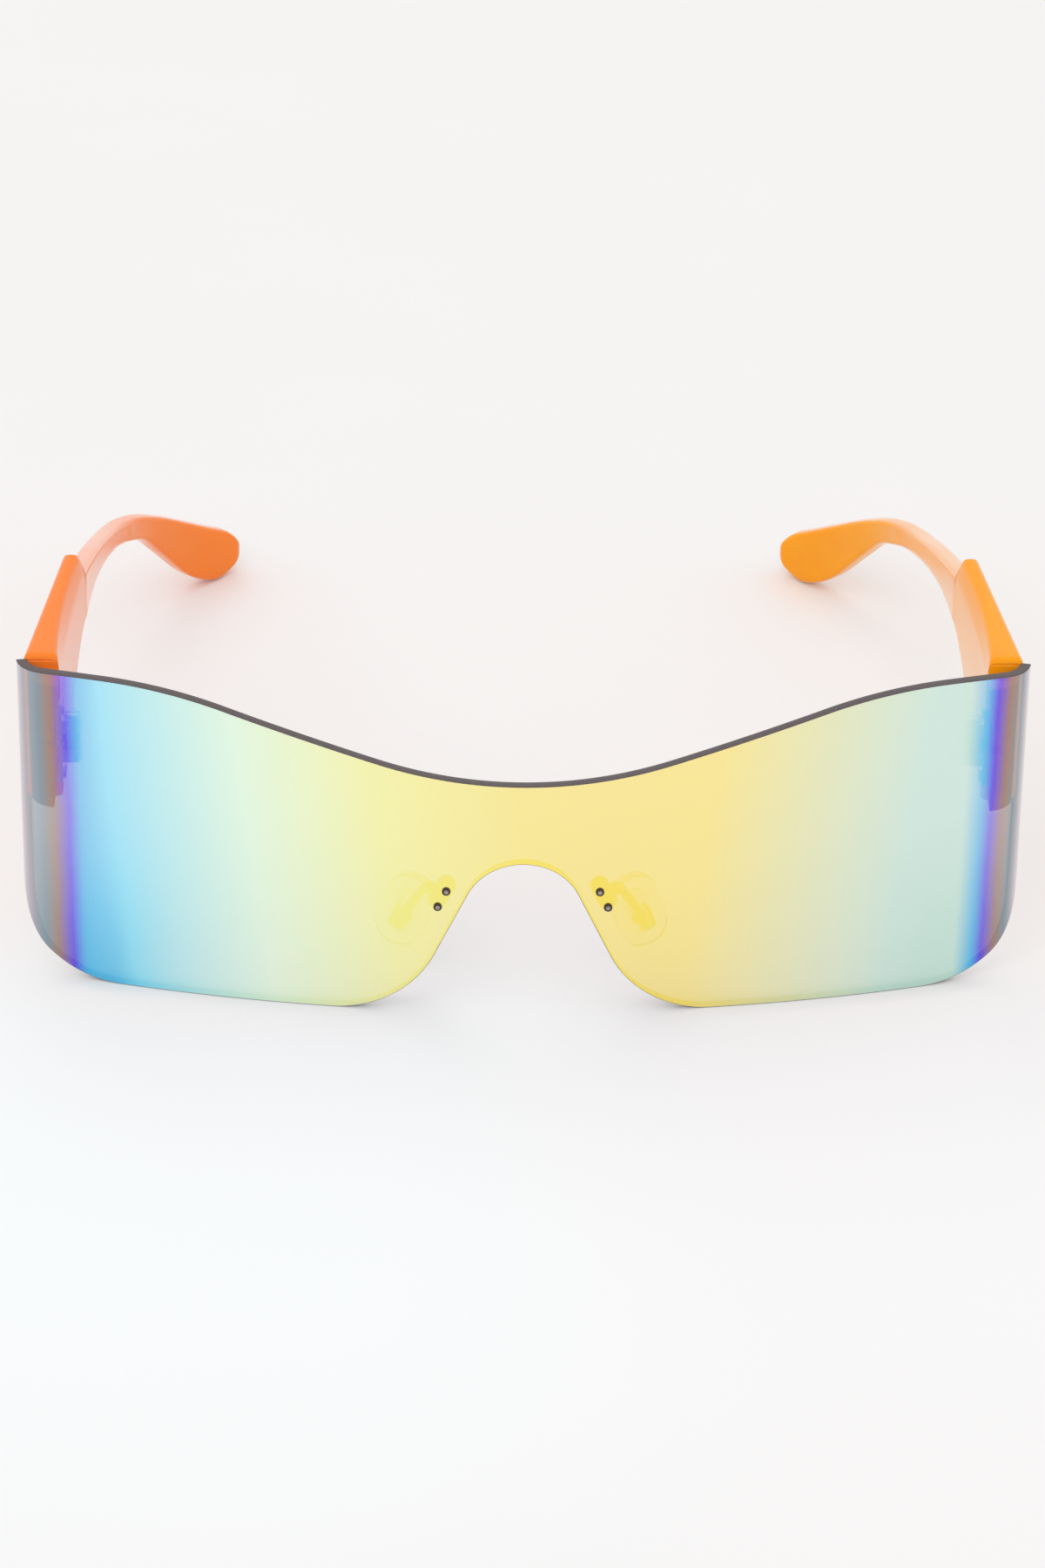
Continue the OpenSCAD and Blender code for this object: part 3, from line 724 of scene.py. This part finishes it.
def flat_place(x):
    """How far along the flat sheet a place of the even front lies."""
    return LENS_RADIUS * np.arcsin(x / LENS_RADIUS)


def towards_corner(x, y):
    """How far a place lies out in the direction from which the low corner is rounded."""
    return x * math.cos(LOW_CORNER_TURN) + y * math.sin(LOW_CORNER_TURN)


def low_edge():
    """The lower edge of the flat sheet, from the middle to the end: along and up."""
    along = np.linspace(END_START * HALF_SHEET, HALF_SHEET, END_STEPS)
    out = towards_corner(*bent(along)) - towards_corner(*sheet_end()) + LOW_CORNER_RADIUS
    cornered = out > 0
    inside = np.maximum(LOW_CORNER_RADIUS**2 - out[cornered] ** 2, 0)
    corner_z = LOW_CORNER_RADIUS - np.sqrt(inside)
    arch_x, arch_z = arch_points()
    level = np.linspace(flat_place(arch_x[-1]), along[cornered][0], LEVEL_STEPS)[1:-1]
    return np.column_stack([
        np.concatenate([flat_place(arch_x), level, along[cornered]]),
        np.concatenate([arch_z, 0 * level, corner_z]),
    ])


def evenly(points, steps):
    """The same line with evenly spaced points."""
    length = np.concatenate([[0], np.cumsum(np.hypot(*np.diff(points, axis=0).T))])
    wanted = np.linspace(0, length[-1], steps + 1)
    return np.column_stack([np.interp(wanted, length, points[:, k]) for k in (0, 1)])


def drawn_in(loop):
    """For each point of a closed line, the step that draws it in by one unit."""
    ahead = np.roll(loop, -1, axis=0) - loop
    ahead /= np.hypot(*ahead.T)[:, None]
    inward = np.column_stack([-ahead[:, 1], ahead[:, 0]])
    behind = np.roll(inward, 1, axis=0)
    return (inward + behind) / (1 + (inward * behind).sum(axis=1))[:, None]


def lens_blank():
    """The lens as a flat sheet with rounded rims: X along it, Y into it, Z up."""
    half = evenly(low_edge(), EDGE_STEPS // 2)
    lower = np.concatenate([half[:0:-1] * (-1, 1), half])
    top = np.column_stack([lower[:, 0], top_height(bent(lower[:, 0])[0])])
    rows = np.linspace(0, 1, SIDE_STEPS + 1)[:, None]
    right = lower[-1] + (top[-1] - lower[-1]) * rows
    left = lower[0] + (top[0] - lower[0]) * rows
    loop = np.concatenate([lower[:-1], right[:-1], top[:0:-1], left[:0:-1]])
    inward = drawn_in(loop)

    angles = np.linspace(0, math.pi / 2, ROUND_STEPS + 1)
    insets = EDGE_ROUND * (1 - np.sin(angles))
    depths = EDGE_ROUND * (1 - np.cos(angles))
    front = list(zip(insets, depths))
    section = front + [(inset, SHEET - depth) for inset, depth in front[::-1]]
    rings = [np.insert(loop + inset * inward, 1, depth, axis=1) for inset, depth in section]
    count = len(loop)
    points = np.concatenate(rings)

    edges = loop + EDGE_ROUND * inward
    low_rail = edges[: EDGE_STEPS + 1]
    high_rail = edges[EDGE_STEPS + SIDE_STEPS : 2 * EDGE_STEPS + SIDE_STEPS + 1][::-1]
    grid = low_rail[:, None] + (high_rail - low_rail)[:, None] * rows[None]
    inner = grid[1:-1, 1:-1].reshape(-1, 2)
    number = np.zeros(grid.shape[:2], int)
    number[:, 0] = np.arange(EDGE_STEPS + 1)
    number[-1, :] = EDGE_STEPS + np.arange(SIDE_STEPS + 1)
    number[:, -1] = 2 * EDGE_STEPS + SIDE_STEPS - np.arange(EDGE_STEPS + 1)
    number[0, 1:] = count - np.arange(1, SIDE_STEPS + 1)
    faces = []
    for depth, shift in ((0.0, 0), (SHEET, (len(rings) - 1) * count)):
        ids = number + shift
        ids[1:-1, 1:-1] = len(points) + np.arange(len(inner)).reshape(grid.shape[0] - 2, -1)
        points = np.concatenate([points, np.insert(inner, 1, depth, axis=1)])
        corners = [ids[:-1, :-1], ids[1:, :-1], ids[1:, 1:], ids[:-1, 1:]]
        quads = np.stack(corners, axis=-1).reshape(-1, 4)
        faces += (quads if depth == 0 else quads[:, ::-1]).tolist()
    for ring in range(len(rings) - 1):
        faces += faces_between(ring, count)
    mesh = bpy.data.meshes.new("lens blank")
    mesh.from_pydata(points.tolist(), [], faces)
    skin = mesh.attributes.new("skin", "INT", "FACE")
    flat = (len(faces) - (len(rings) - 1) * count) // 2
    skin.data.foreach_set("value", [min(index // flat, 2) for index in range(len(faces))])
    mesh.update()
    return add_object("mirror_lens", mesh)


def bend_sheet():
    """Bends a flat sheet to the plan of the lens: an even front and two tight corners."""
    t = Tree(
        "Bend sheet",
        Front_radius=LENS_RADIUS,
        Front_turn=FRONT_TURN,
        Corner_radius=CORNER_RADIUS,
        Front_place=LENS_FRONT_Y,
        Half_length=HALF_SHEET,
        Height=CREST_HEIGHT,
    )
    front, corner = t.size("Front_radius"), t.size("Corner_radius")
    flat = t.parts(t.add("GeometryNodeInputPosition").outputs[0])
    along = t.maths("ABSOLUTE", flat["X"])
    arc = t.maths("MULTIPLY", front, t.size("Front_turn"))
    run = t.maths("DIVIDE", t.maths("MINIMUM", along, arc), front)
    past = t.maths("MAXIMUM", t.maths("SUBTRACT", along, arc), 0.0)
    turn = t.maths("ADD", run, t.maths("DIVIDE", past, corner))
    centre = t.maths("SUBTRACT", front, corner)
    radius = t.maths("SUBTRACT", corner, flat["Y"])

    def run_out(wave):
        """How far the front and the corner together reach, across or back."""
        bend = t.maths("MULTIPLY", radius, t.maths(wave, turn))
        return t.maths("MULTIPLY_ADD", centre, t.maths(wave, run), bend)

    x = t.maths("MULTIPLY", run_out("SINE"), t.maths("SIGN", flat["X"]))
    y = t.maths("ADD", t.maths("SUBTRACT", front, run_out("COSINE")), t.size("Front_place"))

    share = t.maths("DIVIDE", flat["X"], t.maths("MULTIPLY", t.size("Half_length"), 2.0))
    chart = t.add("GeometryNodeStoreNamedAttribute", data_type="FLOAT2", domain="CORNER")
    t.feed(chart.inputs["Geometry"], t.geometry)
    chart.inputs["Name"].default_value = "UVMap"
    up = t.maths("DIVIDE", flat["Z"], t.size("Height"))
    t.feed(chart.inputs["Value"], t.vector(t.maths("ADD", share, 0.5), up, 0.0))
    t.geometry = chart.outputs[0]

    move = t.add("GeometryNodeSetPosition")
    t.feed(move.inputs["Geometry"], t.geometry)
    t.feed(move.inputs["Position"], t.vector(x, y, flat["Z"]))
    t.geometry = move.outputs[0]
    return t


def make_lens():
    piece = bend_sheet().apply(lens_blank(), "skin", mirror_film(), tinted_back(), cut_rim())
    smooth_but(piece.data, LENS_CRISP)
    return stands_for(piece, "shield_lens")


# Moulded and metal pieces

def moulded(node, name, material):
    """A moulding with softly rounded edges, from a copy of its CAD solid."""
    piece = copied(node, name)
    remesh = piece.modifiers.new("even skin", "REMESH")
    remesh.mode = "VOXEL"
    remesh.voxel_size = PAD_VOXEL
    remesh.use_smooth_shade = True
    soften = piece.modifiers.new("rounded edges", "SMOOTH")
    soften.factor = PAD_SOFTENING
    soften.iterations = PAD_SMOOTHING
    baked(piece)
    piece.data.polygons.foreach_set("use_smooth", [True] * len(piece.data.polygons))
    return stands_for(dress(piece, material), node)


def smooth_line(points, steps):
    """A smooth line through the given rows of numbers."""
    rows = np.concatenate([points[:1], points, points[-1:]])
    line = []
    for before, start, end, after in zip(rows, rows[1:], rows[2:], rows[3:]):
        for t in np.linspace(0, 1, steps, endpoint=False):
            line.append(
                start
                + (end - before) * t / 2
                + (2 * before - 5 * start + 4 * end - after) * t**2 / 2
                + (3 * start - before - 3 * end + after) * t**3 / 2
            )
    return np.array([*line, points[-1]])


def temple_section(outer, inner_top, inner_low, top, shoulder, bottom):
    """Section of a temple with rounded corners: across and up."""
    corners = np.array([
        [outer, top], [inner_top, top], [inner_low, shoulder], [inner_low, bottom], [outer, bottom]
    ])
    points = []
    befores, afters = np.roll(corners, 1, axis=0), np.roll(corners, -1, axis=0)
    for before, corner, after in zip(befores, corners, afters):
        ends = []
        for other in (before, after):
            away = other - corner
            length = max(math.hypot(*away), 1e-9)
            ends.append(corner + away * min(LONG_EDGE / length, CORNER_LIMIT))
        for t in np.linspace(0, 1, CORNER_POINTS):
            points.append((1 - t) ** 2 * ends[0] + 2 * t * (1 - t) * corner + t**2 * ends[1])
    return np.array(points)


def block_rings(front_y, out_x, top):
    """Rings of the block, from its front face to its rear edge."""
    in_x = out_x - BLOCK_WIDTH
    arm_top = top - STEP_DROP
    bottom = top - BLOCK_HEIGHT
    fronts = FRONT_ROUND * (1 - np.cos(np.linspace(0, math.pi / 2, FRONT_RINGS)))
    middles = np.linspace(FRONT_ROUND, BLOCK_LENGTH - END_EDGE, BLOCK_RINGS)[1:]
    rings = []
    for run in (*fronts, *middles, BLOCK_LENGTH):
        fall = FRONT_ROUND - math.sqrt(FRONT_ROUND**2 - max(0.0, FRONT_ROUND - run) ** 2)
        fall += max(0.0, run - BLOCK_LENGTH + END_EDGE)
        sweep = min(1.0, max(0.0, (run / BLOCK_LENGTH - SWEEP_START) / (SWEEP_END - SWEEP_START)))
        under = bottom + (arm_top * SWEEP_TOP - bottom) * (1 - math.cos(math.pi * sweep)) / 2
        hollow = in_x + SEAT_DEPTH - (run - HOLLOW_SHARE * BLOCK_LENGTH) ** 2 / (2 * HOLLOW_RADIUS)
        low_in = in_x - LOW_DRIFT * (run / (BLOCK_LENGTH + STEP_LENGTH)) ** 2
        outer = out_x - run * math.tan(BLOCK_LEAN)
        flat = temple_section(outer, hollow, low_in, top - fall, arm_top, under)
        if run == 0:
            flat += END_EDGE * drawn_in(flat)
        rings.append(np.insert(flat, 1, front_y + run, axis=1))
        if run == 0:
            full = flat - END_EDGE * drawn_in(flat)
            rings.append(np.insert(full, 1, front_y + END_EDGE, axis=1))
    return rings


def tip_share(left, length):
    """How much of its size a section keeps at a distance from the tip's end."""
    return np.sqrt(1 - np.maximum(0, 1 - left / length) ** 2)


def arm_rings(front_y, out_x, top):
    """Rings of the arm, from the foot of the block's rear wall to the tip's end."""
    start = BLOCK_LENGTH + STEP_LENGTH
    share, bend, high, low, thick = np.array(ARM_STATIONS).T
    stations = np.column_stack([
        out_x - start * math.tan(BLOCK_LEAN) - ARM_WIDTH / 2 - TIP_IN * bend,
        front_y + start + (TEMPLE_LENGTH - start) * share,
        (top - STEP_DROP) * high,
        (top - STEP_DROP) * low,
        ARM_WIDTH * thick,
    ])
    line = smooth_line(stations, STATION_STEPS)
    length = np.concatenate([[0], np.cumsum(np.hypot(*np.diff(line[:, :2], axis=0).T))])
    ahead = np.gradient(line[:, :2], length, axis=0)
    ahead /= np.hypot(*ahead.T)[:, None]
    tip = TIP_BELOW * (1 - np.sin(np.linspace(0, math.pi / 2, TIP_RINGS)))
    wanted = np.concatenate([np.arange(0, length[-1] - TIP_BELOW, ARM_PITCH), length[-1] - tip])
    rings = []
    for run in wanted:
        x, y, high, low, thick = (np.interp(run, length, column) for column in line.T)
        along_x, along_y = (np.interp(run, length, column) for column in ahead.T)
        left = length[-1] - run
        middle = low + TIP_LINE * (high - low)
        high = middle + tip_share(left, TIP_ABOVE) * (high - middle)
        low = max(0.0, middle - tip_share(left, TIP_BELOW) * (middle - low))
        half = tip_share(left, TIP_ACROSS) * thick / 2
        shoulder = high - SHOULDER_SHARE * (high - low)
        across, up = temple_section(half, -half, -half, high, shoulder, low).T
        rings.append(np.column_stack([x + along_y * across, y - along_x * across, up]))
    return rings


def make_temple(side, sign, material):
    """One temple as a closed skin over its rings."""
    end_x, end_y = sheet_end()
    place = (LENS_FRONT_Y + end_y + BUTT_GAP, end_x - BLOCK_INSET, CREST_HEIGHT + BLOCK_RISE)
    rings = block_rings(*place) + arm_rings(*place)
    count = len(rings[0])
    points = np.concatenate(rings) * (sign, 1, 1)
    faces = [list(range(count))]
    for ring in range(len(rings) - 1):
        faces += faces_between(ring, count)
    mesh = bpy.data.meshes.new(f"temple skin {side}")
    mesh.from_pydata(points.tolist(), [], faces)
    with edited(mesh) as edit:
        bmesh.ops.remove_doubles(edit, verts=edit.verts, dist=MERGE_DISTANCE)
        bmesh.ops.recalc_face_normals(edit, faces=edit.faces)
    smooth_but(mesh, TEMPLE_CRISP)
    piece = add_object(f"temple_moulding_{side}", mesh)
    return stands_for(dress(piece, material), f"temple_{side}")


def fitted(node, name, material, bevel):
    """A stamped, turned or plain moulded piece with its edges broken, from its CAD solid."""
    piece = copied(node, name)
    with edited(piece.data) as edit:
        bmesh.ops.dissolve_limit(
            edit, angle_limit=FLAT_WITHIN, verts=edit.verts, edges=edit.edges
        )
    edge = piece.modifiers.new("broken edges", "BEVEL")
    edge.width = bevel
    edge.segments = BEVEL_STEPS
    edge.limit_method = "ANGLE"
    edge.angle_limit = BEVEL_FROM
    baked(piece)
    smooth_but(piece.data, METAL_CRISP)
    return stands_for(dress(piece, material), node)


def pin_places():
    """Where the heads of the four nose pins sit on the lens's front."""
    places = []
    for sign, side in ((-1, "left"), (1, "right")):
        low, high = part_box(f"nose_pins_{side}")
        near, far = sorted((abs(low.x), abs(high.x)))
        upper = (near + HEAD_RADIUS, high.z - HEAD_RADIUS)
        lower = (far - HEAD_RADIUS, low.z + HEAD_RADIUS)
        for x, z in (upper, lower):
            face = LENS_RADIUS - math.sqrt(LENS_RADIUS**2 - (x - HEAD_RADIUS) ** 2)
            places.append((sign * x, LENS_FRONT_Y + face, z))
    return places


def make_pins(collar, pin):
    """The nose pins: a dark chamfered collar on the lens, and a domed pin through it, whose
    lighter metal is partly its own and partly a painted highlight at each head's centre.
    """
    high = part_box("nose_pins_right")[1]
    places = pin_places()
    t = Tree(
        "Nose pins",
        Head_radius=HEAD_RADIUS,
        Head_height=HEAD_HEIGHT,
        Pin_radius=PIN_RADIUS,
        Tail=high.y - max(y for _, y, _ in places),
    )
    head, height, tail = t.size("Head_radius"), t.size("Head_height"), t.size("Tail")

    def turned(kind, sides, **sizes):
        """A round piece of a pin, its sizes fed by their names."""
        node = t.add(kind)
        t.feed(node.inputs[sides], PIN_SIDES)
        for label, value in sizes.items():
            t.feed(node.inputs[label.replace("_", " ")], value)
        return node.outputs["Mesh"]

    wall = t.maths("MULTIPLY", height, COLLAR_WALL)
    cone = ("GeometryNodeMeshCone", "Vertices")
    disc = turned(*cone, Radius_Bottom=head, Radius_Top=head, Depth=wall)
    slope = turned(
        *cone,
        Radius_Bottom=head,
        Radius_Top=t.maths("MULTIPLY", head, SLOPE_TOP),
        Depth=t.maths("MULTIPLY", height, SLOPE_RISE),
    )
    dome = turned(
        "GeometryNodeMeshUVSphere",
        "Segments",
        Rings=PIN_SIDES // 2,
        Radius=t.maths("MULTIPLY", head, DOME_WIDTH),
    )
    shank = turned(
        "GeometryNodeMeshCylinder", "Vertices", Radius=t.size("Pin_radius"), Depth=tail
    )
    # Each piece of a pin: how far out it sits, how flat it is, and the number of its metal
    parts = (
        (disc, 0.0, 1.0, 0),
        (slope, wall, 1.0, 0),
        (dome, t.maths("MULTIPLY", height, DOME_PLACE), DOME_FLATNESS, 1),
        (shank, t.maths("MULTIPLY", tail, -0.5), 1.0, 1),
    )
    whole = t.add("GeometryNodeJoinGeometry")
    for shape, rise, flat, metal in parts:
        moved = t.add("GeometryNodeTransform")
        t.feed(moved.inputs["Geometry"], shape)
        t.feed(moved.inputs["Translation"], t.vector(0.0, 0.0, rise))
        moved.inputs["Scale"].default_value = (1.0, 1.0, flat)
        t.feed(whole.inputs[0], t.mark(moved.outputs[0], "metal", metal))
    spread = t.add("GeometryNodeInstanceOnPoints")
    t.feed(spread.inputs["Points"], t.geometry)
    t.feed(spread.inputs["Instance"], whole.outputs[0])
    spread.inputs["Rotation"].default_value = (math.pi / 2, 0.0, 0.0)
    t.geometry = spread.outputs[0]
    mesh = bpy.data.meshes.new("pin places")
    mesh.from_pydata(places, [], [])
    piece = t.apply(add_object("nose_rivets", mesh), "metal", collar, pin)
    smooth_but(piece.data, METAL_CRISP)
    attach(piece, "front")
    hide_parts("nose_pins_left", "nose_pins_right")


# Metal pieces of each side, and those among them that are dark
METAL_NODES = (
    "front_leaf",
    "temple_leaf",
    "hinge_screw",
    "front_leaf_screws",
    "temple_leaf_screws",
    "nose_nuts",
    "nose_bracket",
    "pad_screw",
)
DARK_METAL = ("nose_bracket", "nose_nuts", "pad_screw")


def make_hardware():
    steel = fine_metal("bright steel", (0.93, 0.92, 0.9), (0.8, 0.79, 0.77), 0.42)
    # Lighter metal for the pins' domed ends: partly their own metal, partly a painted highlight at
    # each head's centre
    pin = fine_metal("pin metal", (0.4, 0.34, 0.3), (0.22, 0.18, 0.16), 0.3)
    dark = fine_metal("dark nose metal", (0.085, 0.068, 0.06), (0.04, 0.03, 0.027), 0.3)
    for side in ("left", "right"):
        for kind in METAL_NODES:
            metal = dark if kind in DARK_METAL else steel
            fitted(f"{kind}_{side}", f"{kind}_metal_{side}", metal, METAL_BEVEL)
    make_pins(dark, pin)


def make_plastics():
    orange = orange_plastic()
    silicone = clear_silicone()
    nylon = clear_nylon()
    for side, sign in (("left", -1), ("right", 1)):
        make_temple(side, sign, orange)
        fitted(f"end_piece_{side}", f"end_moulding_{side}", orange, PLASTIC_BEVEL)
        moulded(f"nose_pad_{side}", f"soft_pad_{side}", silicone)
        fitted(f"pad_core_{side}", f"pad_plate_{side}", nylon, METAL_BEVEL)


# Floor, light and camera

BACKGROUND = (0.934, 0.912, 0.908)
FLOOR_SPAN = 40.0
FLOOR_TINT = (0.83, 0.815, 0.81)
# How far the floor lies under the pair, and the size and shade of its faint clouds
FLOOR_DROP = 0.02 * MM
PAPER_SIZE = 60 * MM
PAPER_SHADE = 0.985
# Glow of the floor as it is seen: near the pair, and from the start to the end of a far ring,
# past which it is as bright as the sky
FLOOR_GLOW = 0.07
FAR_GLOW = 0.2
FAR_START = 1.6
FAR_END = 4.4
SKY_LIGHT = 0.89
# The mirror throws light on the floor in front: cool on the left, plain on the right. It comes
# up between the first two places, ends between the next two, and turns between the last two
THROWN_LEFT = (0.845, 0.87, 0.88)
THROWN_RIGHT = (0.85, 0.845, 0.845)
THROWN_START = (-30 * MM, -85 * MM)
THROWN_END = (-120 * MM, -260 * MM)
THROWN_TURN = (-30 * MM, 40 * MM)


def floor_colour(r):
    paper = r.noise(r.place(), PAPER_SIZE, detail=4.0)
    shaded = tuple(PAPER_SHADE * share for share in FLOOR_TINT)
    tint = r.blend(r.spread(paper, 0.0, 1.0), FLOOR_TINT, shaded)
    place = r.parts(r.place())
    rise = r.between(place["Y"], *THROWN_START, 0.0, 1.0, smooth=True)
    fall = r.between(place["Y"], *THROWN_END, 1.0, 0.0, smooth=True)
    turn = r.between(place["X"], *THROWN_TURN, 0.0, 1.0, smooth=True)
    thrown = r.blend(turn, THROWN_LEFT, THROWN_RIGHT)
    return r.blend(r.maths("MULTIPLY", rise, fall), tint, thrown)


def pale_floor():
    """Pale floor that glows a little where it is seen, and more far away, to meet the sky."""
    r = Recipe("pale floor")
    diffuse = r.shade("BsdfDiffuse", Color=floor_colour(r))
    away = r.add("ShaderNodeVectorMath", operation="LENGTH")
    r.feed(away.inputs[0], r.place())
    distance = away.outputs["Value"]
    level = r.between(distance, FAR_START, FAR_END, FLOOR_GLOW, FAR_GLOW, smooth=True)
    strength = r.maths("MULTIPLY", r.seen(), level)
    glow = r.shade("Emission", Color=BACKGROUND, Strength=strength)
    return r.finish(r.result("ShaderNodeAddShader", diffuse, glow))


def make_floor():
    half = FLOOR_SPAN / 2
    low = cad_box[0].z - FLOOR_DROP
    mesh = bpy.data.meshes.new("floor")
    corners = [(-half, -half, low), (half, -half, low), (half, half, low), (-half, half, low)]
    mesh.from_pydata(corners, [], [(0, 1, 2, 3)])
    floor = dress(add_object("floor", mesh), pale_floor())


def make_sky():
    """White light for what is lit, and the backdrop's colour for what is seen."""
    world = bpy.data.worlds.new("studio")
    bpy.context.scene.world = world
    world.use_nodes = True
    sky = Nodes(world.node_tree)
    sky.tree.nodes.clear()
    light = sky.shade("Background", Color=WHITE, Strength=SKY_LIGHT)
    shown = sky.shade("Background", Color=BACKGROUND, Strength=1.0)
    both = sky.result("ShaderNodeMixShader", sky.seen(), light, shown)
    sky.feed(sky.add("ShaderNodeOutputWorld").inputs["Surface"], both)


# Name, place, width, power and colour of each lamp; all point at the middle of the pair
LAMPS = (
    ("key", (-0.5, 1.5, 1.9), 1.3, 4.0, (1.0, 0.985, 0.97)),
    ("fill", (-0.6, -1.9, 1.9), 2.2, 14.0, (0.99, 0.995, 1.0)),
)


def make_lamps():
    for name, place, width, power, colour in LAMPS:
        data = bpy.data.lights.new(name, "AREA")
        data.shape = "DISK"
        data.size = width
        data.energy = power
        data.color = colour
        lamp = bpy.data.objects.new(name, data)
        bpy.context.scene.collection.objects.link(lamp)
        lamp.location = place
        lamp.rotation_euler = (-Vector(place)).to_track_quat("-Z", "Y").to_euler()
        lamp.visible_glossy = False
        lamp.visible_transmission = False


def make_camera():
    data = bpy.data.cameras.new("camera")
    data.sensor_fit = "AUTO"
    data.sensor_width = CAMERA_SENSOR
    data.lens = CAMERA_LENS
    data.clip_start = CAMERA_NEAR
    data.clip_end = CAMERA_FAR
    camera = bpy.data.objects.new("camera", data)
    bpy.context.scene.collection.objects.link(camera)
    bpy.context.scene.camera = camera
    down, turn, roll = CAMERA_DOWN, CAMERA_TURN, CAMERA_ROLL
    run = math.cos(down)
    ahead = Vector((math.sin(turn) * run, math.cos(turn) * run, -math.sin(down)))
    level = Vector((math.cos(turn), -math.sin(turn), 0))
    up = level.cross(ahead)
    right = level * math.cos(roll) + up * math.sin(roll)
    top = up * math.cos(roll) - level * math.sin(roll)
    axes = Matrix((right, top, -ahead)).transposed()
    camera.matrix_world = Matrix.Translation(CAMERA_PLACE) @ axes.to_4x4()


make_camera()
make_sky()
make_lamps()
make_floor()
make_lens()
make_plastics()
make_hardware()

bpy.context.scene.view_settings.view_transform = "Standard"
